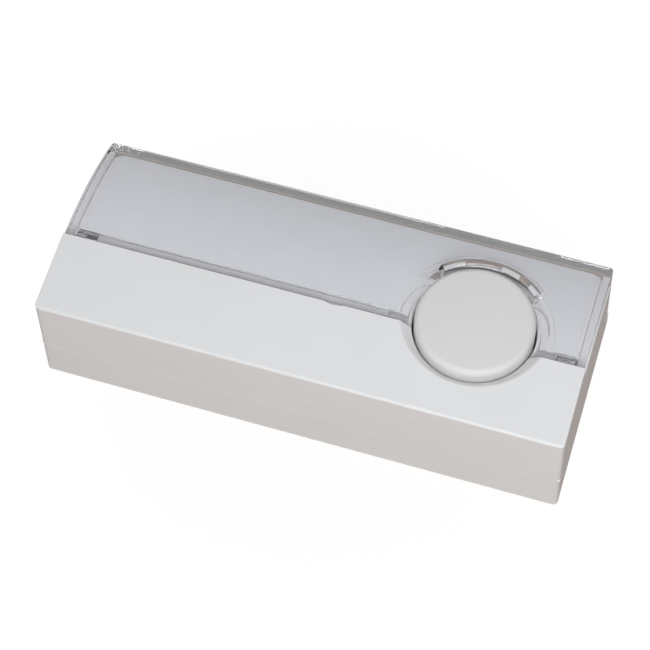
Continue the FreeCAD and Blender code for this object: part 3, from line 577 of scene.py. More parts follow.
class BellStudio(bpy.types.PropertyGroup):
    """Camera and lights."""

    azimuth: angle_setting("Azimuth", "How far the camera stands to the right of the front", 18.49)
    elevation: angle_setting("Elevation", "How high the camera stands", 60.86)
    roll: angle_setting("Roll", "Turn of the camera round its own line of sight", -1.59)
    distance: length_setting("Distance", "From the camera to the aim", 320.6)
    aim: bpy.props.FloatVectorProperty(
        name="Aim", description="Point that the camera looks past", default=(0.0, 0.001, 0.006),
        subtype="TRANSLATION", unit="LENGTH",
    )
    slide: bpy.props.FloatVectorProperty(
        name="Slide", description="Sideways and upward shift of the camera", default=(-0.00077, -0.00067),
        size=2, unit="LENGTH",
    )
    lens: bpy.props.FloatProperty(
        name="Lens", description="Focal length on a 36 mm sensor", min=10.0,
        default=SENSOR * FOCAL_PIXELS / PICTURE_PIXELS,
    )
    key_strength: power_setting("Key light", "Power of the main soft lamp", 1.87)
    front_strength: power_setting("Front light", "Power of the low front lamp", 0.08)
    sky_strength: power_setting("Sky", "Strength of the even light", 0.33)


# stage


class BELL_OT_stage(bpy.types.Operator):
    """Floor, soft lamps, pale surroundings and the camera"""

    bl_idname = "bell.stage"
    bl_label = "Studio"

    def execute(self, context):
        studio = context.scene.bell_studio
        self.make_floor()
        self.make_surroundings(context, studio)
        self.make_lamps(studio)
        self.make_camera(context, studio)
        context.scene.view_settings.view_transform = "Standard"
        for kind in ("max", "transmission", "glossy"):
            setattr(context.scene.cycles, kind + "_bounces", CLEAR_BOUNCES)
        return {"FINISHED"}

    @staticmethod
    def seen(recipe):
        """1 for rays from the camera, also once through a clear sheet, which show a white background."""
        names = ("Is Camera Ray", "Is Transmission Ray", "Ray Depth", "Diffuse Depth")
        camera, through, depth, soft = recipe.outputs("ShaderNodeLightPath", names)
        return (camera + through * (2.6 - depth).ramp(0.0, 0.1) - soft).ramp(0.0, 1.0)

    def make_floor(self):
        """A flat sheet: x and y run evenly over a square, z is the wall plane just under the tray."""
        reach, count = 1.5, 25
        line = np.linspace(-reach, reach, count)
        x, y = np.meshgrid(line, line, indexing="ij")
        grid = grid_of(x, y, -0.00005) / MM
        floor = shell_object("studio_floor", [grid], sealed=False, flat=False)
        floor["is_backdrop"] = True
        material, recipe = new_finish("studio_paper")
        spot = recipe.place()
        across, along = recipe.outputs("ShaderNodeSeparateXYZ", "XY", {0: spot})
        away = (across * across + along * along) ** 0.5
        paper = recipe.mix(recipe.noise(spot, 0.05), (0.46, 0.385, 0.335), (0.44, 0.37, 0.32))
        matt = recipe.node("ShaderNodeBsdfDiffuse", None, {"Color": paper})
        white = recipe.node("ShaderNodeEmission", None, {"Color": WHITE, "Strength": 1.08})
        share = self.seen(recipe) * (away.ramp(0.03, 0.09) * 0.12 + 0.88)
        recipe.finish(recipe.node("ShaderNodeMixShader", None, {0: share, 1: matt, 2: white}))
        floor.data.materials.append(material)

    def make_surroundings(self, context, studio):
        """Even light, warm from below, stronger from behind and dim from both sides.

        What is mirrored or bent by the clear plastic shows a plain room instead.
        """
        world = bpy.data.worlds.new("surroundings")
        world.use_nodes = True
        context.scene.world = world
        recipe = Recipe(world.node_tree)
        heading = recipe.node("ShaderNodeTexCoord", output="Generated")
        sideways, behind, height = recipe.outputs("ShaderNodeSeparateXYZ", "XYZ", {0: heading})
        tone = recipe.mix(height.ramp(-0.1, 0.9), (1.0, 0.94, 0.90), (0.95, 0.98, 1.0))
        tone = recipe.mix(sideways.ramp(0.0, 0.9), tone, (0.29, 0.285, 0.28))
        tone = recipe.mix((sideways * -1.0).ramp(0.0, 0.9) * 0.5, tone, (0.5, 0.49, 0.48))
        strength = (behind.ramp(0.0, 0.9) * 1.15 + 1.0) * studio.sky_strength
        light = recipe.node("ShaderNodeBackground", None, {"Color": tone, "Strength": strength})
        mirrored, bent = recipe.outputs("ShaderNodeLightPath", ("Is Glossy Ray", "Is Transmission Ray"))
        room = recipe.node("ShaderNodeBackground", None, {"Color": (0.97, 0.96, 1.0), "Strength": 0.62})
        sharp = (mirrored + bent).ramp(0.0, 1.0)
        light = recipe.node("ShaderNodeMixShader", None, {0: sharp, 1: light, 2: room})
        white = recipe.node("ShaderNodeBackground", None, {"Color": WHITE, "Strength": 1.0})
        mixed = recipe.node("ShaderNodeMixShader", None, {0: self.seen(recipe), 1: light, 2: white})
        recipe.node("ShaderNodeOutputWorld", None, {"Surface": mixed})

    @staticmethod
    def make_lamps(studio):
        """Each lamp is a soft square that looks at the case."""
        lamps = (
            ("key_lamp", (0.12, -0.28, 0.42), 0.32, studio.key_strength, (0.965, 0.98, 1.0)),
            ("front_lamp", (0.08, -0.26, 0.08), 0.12, studio.front_strength, (1.0, 0.99, 0.985)),
        )
        for name, place, side, power, tone in lamps:
            data = bpy.data.lights.new(name, "AREA")
            data.shape, data.size, data.energy, data.color = "SQUARE", side, power, tone
            lamp = bpy.data.objects.new(name, data)
            facing = Vector(place).to_track_quat("Z", "Y").to_matrix().to_4x4()
            lamp.matrix_world = Matrix.Translation(place) @ facing
            bpy.context.scene.collection.objects.link(lamp)

    @staticmethod
    def make_camera(context, studio):
        """The camera stands at aim + distance * back, shifted along its own right and up by slide."""
        az, el, roll = studio.azimuth, studio.elevation, studio.roll
        back = Vector((math.sin(az) * math.cos(el), -math.cos(az) * math.cos(el), math.sin(el)))
        right = (-back).cross(Vector((0.0, 0.0, 1.0))).normalized()
        up = right.cross(-back)
        across = math.cos(roll) * right + math.sin(roll) * up
        upward = -math.sin(roll) * right + math.cos(roll) * up
        shift = studio.slide[0] * across + studio.slide[1] * upward
        place = Vector(studio.aim) + studio.distance * back + shift
        data = bpy.data.cameras.new("studio_camera")
        data.sensor_width, data.lens, data.clip_start = SENSOR, studio.lens, 0.01
        camera = bpy.data.objects.new("studio_camera", data)
        turn = Matrix((across, upward, back)).transposed().to_4x4()
        camera.matrix_world = Matrix.Translation(place) @ turn
        context.scene.collection.objects.link(camera)
        context.scene.camera = camera


# kept pieces


def finish_of(slot):
    """The finish of a slot, made on first use. Its name differs from the frame's own plain materials."""
    name = "bell_" + slot
    return bpy.data.materials.get(name) or make_finish(slot, name)


BRIGHT_METALS = {  # colour, tarnish, roughness, and brush lines per metre along each axis
    "brass": ((0.80, 0.58, 0.28), (0.55, 0.36, 0.16), 0.22, (300.0, 4000.0, 4000.0)),
    "bronze": ((0.72, 0.45, 0.26), (0.5, 0.28, 0.15), 0.25, (300.0, 4000.0, 4000.0)),
    "nickel": ((0.72, 0.70, 0.66), (0.5, 0.48, 0.44), 0.2, (4000.0, 500.0, 500.0)),
    "spring_steel": ((0.56, 0.57, 0.58), (0.35, 0.35, 0.36), 0.25, (900.0, 900.0, 900.0)),
    "zinc_steel": ((0.66, 0.67, 0.68), (0.5, 0.5, 0.46), 0.3, (1500.0, 1500.0, 200.0)),
    "tungsten": ((0.3, 0.3, 0.31), (0.2, 0.2, 0.2), 0.4, (900.0, 900.0, 900.0)),
}


def make_finish(slot, name):
    """A new finish: bright metals from their table, the others by a recipe of their own."""
    if slot in BRIGHT_METALS:
        return bright_metal(name, *BRIGHT_METALS[slot])
    tones = bpy.context.scene.bell_finishes
    recipes = {
        "white_plastic": lambda: moulded_plastic(name, tones.white, tones.white_shade, 0.36),
        "ivory_plastic": lambda: moulded_plastic(name, tones.ivory, tones.ivory_shade, 0.5),
        "clear_plastic": lambda: clear_plastic(name, tones.clear),
        "opal_plastic": lambda: opal_plastic(name, tones.opal),
        "card": lambda: card_paper(name, tones.card),
        "lamp_glass": lambda: lamp_glass(name, (0.98, 0.98, 0.98)),
    }
    return recipes[slot]()


class BELL_OT_fittings(bpy.types.Operator):
    """Tray, strips, rivet and terminals, whose solids are kept and given their finishes"""

    bl_idname = "bell.fittings"
    bl_label = "Tray and fittings"

    def execute(self, context):
        slots = {
            "base_tray": "white_plastic", "leaf_rivet": "brass", "fixed_contact_strip": "brass",
            "lamp_contact_strip": "brass",
        }
        for side in ("left", "right"):
            for name in ("terminal_screw_", "clamp_washer_", "square_nut_"):
                slots[name + side] = "zinc_steel"
        for name, slot in slots.items():
            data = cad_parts[name].data
            data.materials.clear()
            data.materials.append(finish_of(slot))
        return {"FINISHED"}


# cover


def roll_end(m, sign, outline, x_start, inset, corner_y, corner_towards, soft):
    """Columns of a closed outline (n, 2) that leave the plane x_start and roll into the leaning end.

    At the angle t of the roll the outline is drawn in by soft (1 - cos t), and by corner (1 - cos t)
    where it faces corner_towards in y. x is the end less the roll's radius times (1 - sin t). soft is
    under the outline's own smallest round, or the drawn outline would cross itself.
    """
    normal = outward(outline)
    faces_corner = np.clip(normal[:, 0] * corner_towards, 0.0, 1.0)
    radius = soft + (m.corner - soft) * faces_corner
    columns = [upright(x_start, outline)]
    for t in np.linspace(0.0, math.pi / 2, 7):
        drawn = outline - normal * soft * (1 - math.cos(t))
        limit = corner_y - corner_towards * m.corner * (1 - math.cos(t))
        drawn[:, 0] = np.minimum(drawn[:, 0] * corner_towards, limit * corner_towards) * corner_towards
        x = end_x(m, drawn[:, 1], inset) - radius * (1 - math.sin(t))
        columns.append(upright(x, drawn))
    columns = np.array(columns)
    columns[..., 0] *= sign
    return columns


def deck(m, y):
    """Height of the deck at y: front_height + SLOPE (y - front)."""
    return m.front_height + SLOPE * (y - m.front)


def cover_corners(m, x, rear, shelf_back):
    """Corners of the cover's section at each x: front wall, deck, shelf and the inside of both."""
    stop, sink, ledge = m.edge - m.wall, m.edge_height - DECK_LIP, dome(m, m.end_radius, m.edge)
    shelf_low = m.shelf_top - SHELF_THICK
    spots = [
        (m.front, m.split), (m.front, m.front_height), (rear, deck(m, rear)), (rear, sink), (m.edge, sink),
        (m.edge, ledge), (m.edge, m.shelf_top), (shelf_back, m.shelf_top), (shelf_back, shelf_low),
        (stop, shelf_low), (stop, deck(m, stop) - m.wall), (m.inner_front, deck(m, m.inner_front) - m.wall),
        (m.inner_front, m.split),
    ]
    return np.stack([grid_of(x, y, z) for y, z in spots], axis=1)


def funnel_corners(m, share):
    """Corners of the cover's section round the button. share runs from -1 to 1 over the cut circle.

    A point of radius r lies at the angle share * acos((button_y - edge) / r) from the front, so the
    first and the last section lie in the boundary's plane. The rim is where the dish
    r = tube + flare (z - foot) meets the deck z = deck(y).
    """
    offset = m.button[1] - m.edge

    def ring(radius, z):
        angle = share * np.arccos(offset / radius)
        return grid_of(m.button[0] + radius * np.sin(angle), m.button[1] - radius * np.cos(angle), z)

    reach = m.tube + m.flare * (deck(m, m.button[1]) - m.funnel_foot)
    angle = share * np.arccos(offset / m.dish_radius)
    rim = reach / (1 + m.flare * SLOPE * np.cos(angle))
    x, y = m.button[0] + rim * np.sin(angle), m.button[1] - rim * np.cos(angle)
    outside = [ring(m.tube + TUBE_WALL, TUBE_TOP + rise) for rise in (0.0, 0.3, 0.6)]
    under = outside[0].copy()
    under[:, 2] = deck(m, under[:, 1]) - m.wall
    corners = [grid_of(x, m.front, m.split), grid_of(x, m.front, m.front_height), grid_of(x, y, deck(m, y))]
    corners += [ring(m.tube, m.funnel_foot)] + [ring(m.tube, TUBE_TOP + rise) for rise in (1.6, 0.9, 0.0)]
    corners += [*outside, under, grid_of(x, m.inner_front, deck(m, m.inner_front) - m.wall)]
    return np.stack(corners + [grid_of(x, m.inner_front, m.split)], axis=1)


def ring_block(m, middle, half_width, inner, outer, low, high):
    """A block bent round the button: radius, height and angle stand for the three sides of a bar."""
    soft = SOFT_EDGE
    outline = rounded([(inner, low), (outer, low), (outer, high), (inner, high)], (0, 0, soft, soft))

    def place(local):
        angle, radius = local[..., 0] / outer, local[..., 1]
        x, y = m.button[0] + radius * np.cos(angle), m.button[1] + radius * np.sin(angle)
        return grid_of(x, y, local[..., 2])

    ends = [math.radians(middle + side * half_width) * outer for side in (-1, 1)]
    return bar(outline, *ends, roll=soft, place=place, between=9)


class BELL_OT_cover(bpy.types.Operator):
    """White casing with the deck, the dish round the button, the shelf, the back wall and the guide"""

    bl_idname = "bell.cover"
    bl_label = "Cover"

    def execute(self, context):
        m = measures(context)
        grids, faces = self.casing(m)
        for grid, caps in self.fittings(m):
            grids.append(grid)
            faces += caps
        cover = shell_object("cover_casing", grids, faces)
        fit(cover, "front_cover", "cover", "white_plastic")
        return {"FINISHED"}

    @staticmethod
    def casing(m):
        """Sections from end to end, each a closed loop with a rounded crease, rim and foot."""
        cut_half = math.sqrt(m.dish_radius**2 - (m.button[1] - m.edge) ** 2)
        slot, narrow = m.room - LUG_SLOT, m.edge + NARROW_SHELF
        notch = NOTCH_X + np.linspace(-NOTCH_HALF, NOTCH_HALF, 13)
        share = np.linspace(-1.0, 1.0, 73)
        spans = (
            (np.array([-m.room, -slot]), narrow),
            (np.concatenate([np.linspace(-slot, notch[0] - 0.2, 14), notch]), m.shelf_back),
            (np.linspace(notch[-1] + 0.2, m.button[0] - cut_half, 6), m.shelf_back),
            (None, None),
            (np.linspace(m.button[0] + cut_half, slot, 3), m.shelf_back),
            (np.array([slot, m.room]), narrow),
        )
        loops = []
        for x, shelf_back in spans:
            if x is None:
                corners, rim, foot = funnel_corners(m, share), 0.4 + 0 * share, 0.3 + 0 * share
            else:
                arc = np.sqrt(np.maximum(NOTCH_RADIUS**2 - (x - NOTCH_X) ** 2, 0.0))
                sink = np.maximum(arc - math.sqrt(NOTCH_RADIUS**2 - NOTCH_HALF**2), 0.0)
                corners = cover_corners(m, x, m.edge - sink, shelf_back)
                rim, foot = SOFT_EDGE + 0 * x, 0 * x
            loops.append(rounded(corners, (SOFT_EDGE, m.crease, rim, foot, *[0] * 9), 5))
        grids, faces = [closed(np.concatenate(loops))], []
        y = np.linspace(m.edge, m.cover_back, 17)
        corners = [(m.front, m.split), (m.front, m.front_height), (m.edge, m.edge_height)]
        corners += [(m.edge, m.edge_height - DECK_LIP), *zip(y, dome(m, m.end_radius, y))]
        corners += [(m.cover_back, m.split), (m.inner_front, m.split)]
        outline = rounded(corners, [SOFT_EDGE, m.crease, SOFT_EDGE] + [0] * (len(corners) - 3), 5)
        inner_run = cover_corners(m, np.array([m.room]), m.edge, narrow)[0, 6:, 1:]
        hidden = np.concatenate([outline[-len(y) - 2:-1], inner_run[::-1]])
        for sign in (-1, 1):
            columns = roll_end(m, sign, outline, m.room, 0.0, m.front, -1, SOFT_EDGE - 0.01)
            grids.append(closed(columns))
            faces += [columns[-1], upright(sign * m.room, hidden)]
        return grids, faces

    @staticmethod
    def fittings(m):
        """Back wall, seam lip, pocket floors, pad, guide tube and the blocks under the clear collar."""
        # back wall
        inner, foot = m.cover_back - COVER_BACK_WALL, COVER_BACK_FOOT
        tops = [(y, dome(m, m.ledge_radius, y)) for y in (m.cover_back, inner)]
        wall = rounded([(inner, foot), (m.cover_back, foot), *tops], (0.2, 0.2, 0, 0))
        yield bar(wall, -m.room, m.room)
        # seam lip, which reaches down inside the tray's front wall
        front, held, depth, thick = m.inner_front + 0.1, m.inner_front - 0.1, 2.0, 1.0
        lip = [
            (front, m.split - depth), (front + thick, m.split - depth), (front + thick, m.split + thick),
            (held, m.split + depth), (held, m.split + HAIR), (front, m.split + HAIR),
        ]
        yield bar(rounded(lip, (0.2, 0.2, 0.2, 0, 0, 0)), depth - m.room, m.room - depth, roll=0.15)
        # bars behind the slots in the shelf, and the floors of the pockets that the slots make
        near, far = m.edge + 2.35, m.edge + 3.2
        low, high = m.shelf_top - SHELF_THICK + 0.02, m.shelf_top - 0.02
        bridge = np.array([(near, low), (far, low), (far, high), (near, high)])
        front, back, floor = m.edge + 0.1, m.edge + 2.7, m.shelf_top - 2.5
        pocket = [(front, floor - 0.8), (back, floor - 0.8), (back, low + 0.1), (near, low + 0.1),
                  (near, floor), (front, floor)]
        pocket = rounded(pocket, (0.1, 0.1, 0, 0, 0.1, 0.1))
        end = LUG_SLOT + 0.2 - m.room
        for outline, start in ((bridge, -0.2 - m.room), (pocket, 0.1 - m.room)):
            yield bar(outline, start, end)
            yield bar(outline, -end, -start)
        # pad under the window's front rib
        front, back = m.edge - HAIR, m.edge + 2.0
        pad = [(front, high - 0.3), (back, high - 0.3), (back, m.pad_top - PAD_STEP),
               (m.edge + 1.2, m.pad_top - PAD_STEP), (m.edge + 1.1, m.pad_top), (front, m.pad_top)]
        pad = rounded(pad, (0, 0, 0.1, 0.05, 0.1, 0))
        slot, clear = m.room - LUG_SLOT + 0.02, WINDOW_REACH + 0.1
        yield bar(pad, -slot, m.button[0] - clear)
        yield bar(pad, m.button[0] + clear, slot)
        # guide tube, whose top follows the window's curve behind the deck
        outside = m.tube + TUBE_WALL
        tube_wall = [(m.tube, TUBE_FOOT), (outside, TUBE_FOOT), (outside, TUBE_TOP), (m.tube, TUBE_TOP)]
        guide = lathe(closed(rounded(tube_wall, (0.2, 0.2, 0.15, 0.3))), (*m.button[:2], 0.0), 128)
        y, z = guide[..., 1], guide[..., 2]
        lift = np.maximum(dome(m, m.clear_inner, y) - 0.35 - TUBE_TOP, 0.0)
        z += np.where((z > TUBE_TOP - 0.4) & (y > m.edge - 0.5), lift, 0.0)
        yield guide, []
        # blocks under the collar, each a foot and a post
        for middle, half_width in COLLAR_LUGS:
            yield ring_block(m, middle, half_width, m.tube + 0.5, LUG_RADIUS, *LUG_FOOT)
            yield ring_block(m, middle, half_width, LUG_RADIUS - LUG_THICK, LUG_RADIUS, *LUG_POST)


# window


def ramp(place, start, length):
    """0 up to start, then a straight rise to 1 over that length."""
    return np.clip((place - start) / length, 0.0, 1.0)


def soft_max(first, second, width):
    """The larger of two heights, rounded where they lie within width of each other."""
    share = np.clip(0.5 + (first - second) / (2 * width), 0.0, 1.0)
    return second + (first - second) * share + width * share * (1 - share)


class BELL_OT_window(bpy.types.Operator):
    """Clear window: curved sheet, back wall, front rib, end returns and the ring round the button"""

    bl_idname = "bell.window"
    bl_label = "Window"

    ring_end = 12.75
    rib_steps = (0.0, 0.45, 1.35, 1.9)
    round_steps = 5

    def execute(self, context):
        m = measures(context)
        grids, faces = self.sheet(m)
        ring_grids, ring_faces = self.ring(m)
        window = shell_object("clear_window", grids + ring_grids, faces + ring_faces)
        fit(window, "name_window", "window", "clear_plastic")
        return {"FINISHED"}

    def depths(self, m, end):
        """Places in y from the front face to end, with the rib's and its lugs' edges among them."""
        rib = m.window_front + np.array(self.rib_steps)
        return np.concatenate([rib, np.linspace(rib[-1], end, 23)[1:]])

    def runs(self, m):
        """Places in y along the top and the underside, up to the rounds of the back wall."""
        return self.depths(m, m.window_back - WINDOW_ROUND), self.depths(m, m.window_inner - 0.4)

    def section(self, m, inner, rib=False, lug=False):
        """Outer run, back wall and inner run of the window's section, as one closed outline (y, z)."""
        upper, lower = self.runs(m)
        foot = m.pad_top + HAIR
        near, mid, far = m.window_front + np.array(self.rib_steps[:0:-1])
        height = {y: foot if rib else dome(m, inner, y) for y in (near, mid, far, m.window_front)}
        drop = {y: m.shelf_top - WINDOW_LUG if lug else height[y] for y in (mid, far)}
        corners = [(y, dome(m, m.dome_radius, y)) for y in upper]
        corners += [(m.window_back, m.dome_back), (m.window_back, WINDOW_FOOT)]
        corners += [(m.window_inner, WINDOW_FOOT), (m.window_inner, dome(m, inner, m.window_inner))]
        corners += [(y, dome(m, inner, y)) for y in lower[:2:-1]]
        corners += [(near, height[near]), (mid, height[mid]), (mid, drop[mid])]
        corners += [(far, drop[far]), (far, height[far]), (m.window_front, height[m.window_front])]
        corners += [(m.window_front, dome(m, m.clear_inner, m.window_front))]
        radii = [0] * len(upper) + [WINDOW_ROUND] * 4 + [0] * (len(corners) - len(upper) - 4)
        return rounded(corners, radii, self.round_steps)

    def sheet(self, m):
        """Sections along x, doubled in the planes where the rib, its lugs and the end returns begin."""
        clear_end = m.half - WINDOW_END - LEAN * m.edge_height
        rib_end, lug = m.room - PLAY, m.room - LUG_SLOT + PLAY
        left, right = m.button[0] - WINDOW_REACH, m.button[0] + WINDOW_REACH
        plain, ended = self.section(m, m.clear_inner), self.section(m, m.return_radius)
        ribbed, lugged = self.section(m, m.clear_inner, True), self.section(m, m.clear_inner, True, True)
        far_side = [(lug, ribbed), (lug, lugged), (rib_end, lugged), (rib_end, plain)]
        far_side += [(clear_end, plain), (clear_end, ended)]
        near_side = [(-x, outline) for x, outline in reversed(far_side)]
        near_side += [(x, ribbed) for x in np.linspace(-lug, left, 16)[1:]] + [(left, plain)]
        far_side = [(right, plain), (right, ribbed)] + far_side
        grids, faces = [], []
        for span in (near_side, far_side):
            grids.append(closed(np.array([upright(x, outline) for x, outline in span])))
        for sign in (-1, 1):
            columns = roll_end(m, sign, ended, clear_end, WINDOW_END_STEP, m.window_back, 1, 0.2)
            grids.append(closed(columns))
            faces.append(columns[-1])
        return grids, faces

    def ring(self, m):
        """Rays from the button's way to the edges of the patch round it, above and below.

        At the radius r a ray lies at the angle a0 + share (a1 - a0), where a0 = pi + asin(d / r) and
        a1 = -asin(d / r) put the first and the last ray in the front plane, d before the axis.
        """
        bx, by = m.button[:2]
        upper, lower = self.runs(m)
        outline = self.section(m, m.clear_inner)
        back = outline[len(upper):len(upper) + 4 * (self.round_steps + 1)]
        across = np.linspace(bx - WINDOW_REACH, bx + WINDOW_REACH, 57)

        def targets(depths, radius, corner):
            side = np.column_stack([depths, dome(m, radius, depths)])
            rear = grid_of(across, *corner)
            return np.concatenate([upright(across[0], side), rear, upright(across[-1], side[::-1])])

        above = targets(upper, m.dome_radius, back[0])
        below = targets(lower, m.clear_inner, back[-1])
        d = by - m.window_front
        way = m.tube + 0.1
        far = above[:, :2] - (bx, by)
        angle = np.arctan2(far[:, 1], far[:, 0])
        angle[angle < -math.pi / 2] += 2 * math.pi
        tilt = np.arcsin(d / np.linalg.norm(far, axis=1))
        share = (angle - math.pi - tilt) / (-math.pi - 2 * tilt)

        def ray_ring(radius):
            """x and y of every ray at that radius."""
            lean = math.asin(d / radius)
            turned = math.pi + lean + share * (-math.pi - 2 * lean)
            return bx + radius * np.cos(turned), by + radius * np.sin(turned)

        def top_height(radius, y):
            """The lower of the dish and whichever is higher, the sheet or the ring."""
            dish = m.funnel_foot + (radius - way) / m.flare
            ring = -soft_max(-m.collar_height, 3 * (radius - m.collar_radius) - m.collar_height, 0.5)
            return -soft_max(-dish, -soft_max(dome(m, m.dome_radius, y), ring, 0.4), 0.1)

        radii = np.concatenate([
            np.linspace(way, 10.3, 5), np.linspace(10.4, 11.5, 12), np.linspace(11.6, 11.8, 3),
            np.linspace(11.86, 12.6, 16), [self.ring_end],
        ])
        top = [np.column_stack([*ray_ring(r), top_height(r, ray_ring(r)[1])]) for r in radii]
        roof = m.collar_height - GROOVE_ROOF
        plain = [(r, 0) for r in (way, 10.2, GROOVE_INSIDE, GROOVE_OUTSIDE, 12.2, self.ring_end)]
        steps = plain[:3] + [(r, 1) for r in (GROOVE_INSIDE, 11.2, GROOVE_OUTSIDE)] + plain[3:]
        low = []
        for r, grooved in steps:
            x, y = ray_ring(r)
            heading, under = np.degrees(np.arctan2(y - by, x - bx)), dome(m, m.clear_inner, y)
            open_here = ramp(heading, GROOVE[0], 2.0) * ramp(-heading, -GROOVE[1], 2.0)
            low.append(np.column_stack([x, y, under + (roof - under) * open_here * grooved]))

        def outward_rows(rows, goal, radius):
            """Straight on from the last ring to the patch's edge, on the round sheet of that radius."""
            last = rows[-1]
            for share in np.linspace(0.0, 1.0, 8)[1:]:
                row = last + (goal - last) * share
                row[:, 2] = dome(m, radius, row[:, 1]) + share * (goal[:, 2] - dome(m, radius, goal[:, 1]))
                rows.append(row)
            return np.array(rows)

        top, low = outward_rows(top, above, m.dome_radius), outward_rows(low, below, m.clear_inner)
        wall = upright(across[:, None], back)
        grids = [top, low, np.array([top[0], low[0]]), wall]
        faces = [np.concatenate([top[:, ray], low[::-1, ray]]) for ray in (0, -1)]
        return grids, faces


# card


def bent_sheet(m, name, radius, thick, half, roll, cut, tuck=0.0, step=0.0):
    """A sheet on the dome, cut in an arc round the collar, with round back corners.

    Its front edge is y = card_front, or y = card_front + (cut + 0.8) sin(t) at x = button + cut cos(t),
    where cut shrinks by tuck towards both ends of the arc, before the blocks under the collar. It
    steps back by step over the pockets at both ends. Its back edge is y = cover_back, less
    corner (1 - sin(t)) at x = half - corner (1 - cos(t)).
    """
    corner, rows, bx = 0.9, 25, m.button[0]
    t = np.linspace(0.0, math.pi / 2, 13)
    left = np.column_stack([corner * (1 - np.cos(t)) - half, 0 * t, corner * (np.sin(t) - 1)])
    arc = np.linspace(math.pi, 0.0, 91)
    near = ramp(-np.minimum(arc, math.pi - arc), -math.radians(44), math.radians(10))
    cut = cut - tuck * near * near * (3 - 2 * near)
    pocket = m.room - LUG_SLOT + 0.2 - np.array([0.0, 0.05, 0.1])
    front = np.linspace(-pocket[2], bx - cut[0], 22)[1:]
    front = np.concatenate([[-(pocket[0] + half - corner) / 2], -pocket, front])
    right = np.concatenate([grid_of(pocket[::-1], 0, 0), left[::-1] * (-1, 1, 1)])
    x, forward, short = np.concatenate([
        left, grid_of(front, 0, 0), grid_of(bx + cut * np.cos(arc), (cut + 0.8) * np.sin(arc), 0),
        right[right[:, 0] > bx + cut[0]],
    ]).T
    over_pocket = ramp(np.abs(x), pocket[2], 0.1) * ramp(-np.abs(x), 0.7 - m.room, 0.12)
    first, last = m.card_front + forward + step * over_pocket, m.cover_back + short
    y = first[:, None] + (last - first)[:, None] * np.linspace(0.0, 1.0, rows)
    outer, inner = (np.stack([y, dome(m, level, y)], axis=-1) for level in (radius, radius - thick))
    ends = [roll, *[0] * (rows - 2), roll]
    outline = rounded(np.concatenate([outer, inner[:, ::-1]], axis=1), ends + ends)
    columns = upright(x[:, None], outline)
    return shell_object(name, [closed(columns)], [columns[0], columns[-1]])


class BELL_OT_card(bpy.types.Operator):
    """Blank card and the milky plate that carries it"""

    bl_idname = "bell.card"
    bl_label = "Card and plate"

    def execute(self, context):
        m = measures(context)
        half = m.room - HAIR
        plate = bent_sheet(
            m, "milky_plate", m.plate_radius, PLATE_THICK, half, 0.2, cut=11.65, tuck=0.9, step=1.2
        )
        fit(plate, "card_diffuser", "cover", "opal_plastic")
        card = bent_sheet(m, "blank_card", m.card_radius, CARD_THICK, half - 0.6, 0.08, cut=12.2)
        fit(card, "name_card", "cover", "card")
        return {"FINISHED"}


# button and switch


class BELL_OT_button(bpy.types.Operator):
    """Push button: cap with a low crown, skirt, hooks and plunger"""

    bl_idname = "bell.button"
    bl_label = "Push button"

    def execute(self, context):
        m = measures(context)
        foot, top = CAP_LOW[2], CAP_HIGH[2]
        skirt, under, radius, plunger = SKIRT_FOOT, top - CAP_THICK, m.button_radius, 2.0
        rim, bore = radius - m.button_round, radius - SKIRT_WALL
        crown = [(rim * s, top - CROWN * s * s) for s in np.linspace(0.95, 0.0, 20)]
        corners = [(0, foot), (plunger, foot), (plunger, under), (bore, under), (bore, skirt)]
        corners += [(radius, skirt), (radius, top - CROWN), *crown]
        radii = [0, 0.4, 0.3, 0.3, 0.15, 0.2, m.button_round] + [0] * len(crown)
        grids = [lathe(rounded(corners, radii, 8), (*m.button[:2], 0.0), 160)]
        faces = []
        inner, outer, above = radius - 0.6, radius + 0.9, skirt + 1.2
        hook = [(inner, skirt), (outer - 0.5, skirt), (outer, skirt + 0.5), (outer, above), (inner, above)]
        hook = rounded(hook, (0, 0.2, 0.2, 0.1, 0))
        for quarter in range(4):
            turn = quarter * math.pi / 2

            def place(local):
                s, u = local[..., 0], local[..., 1]
                x, y = u * math.cos(turn) - s * math.sin(turn), u * math.sin(turn) + s * math.cos(turn)
                return grid_of(m.button[0] + x, m.button[1] + y, local[..., 2])

            grid, caps = bar(hook, -2.0, 2.0, roll=0.15, place=place)
            grids.append(grid)
            faces += caps
        cap = shell_object("button_cap", grids, faces)
        fit(cap, "push_button", "button", "ivory_plastic")
        return {"FINISHED"}


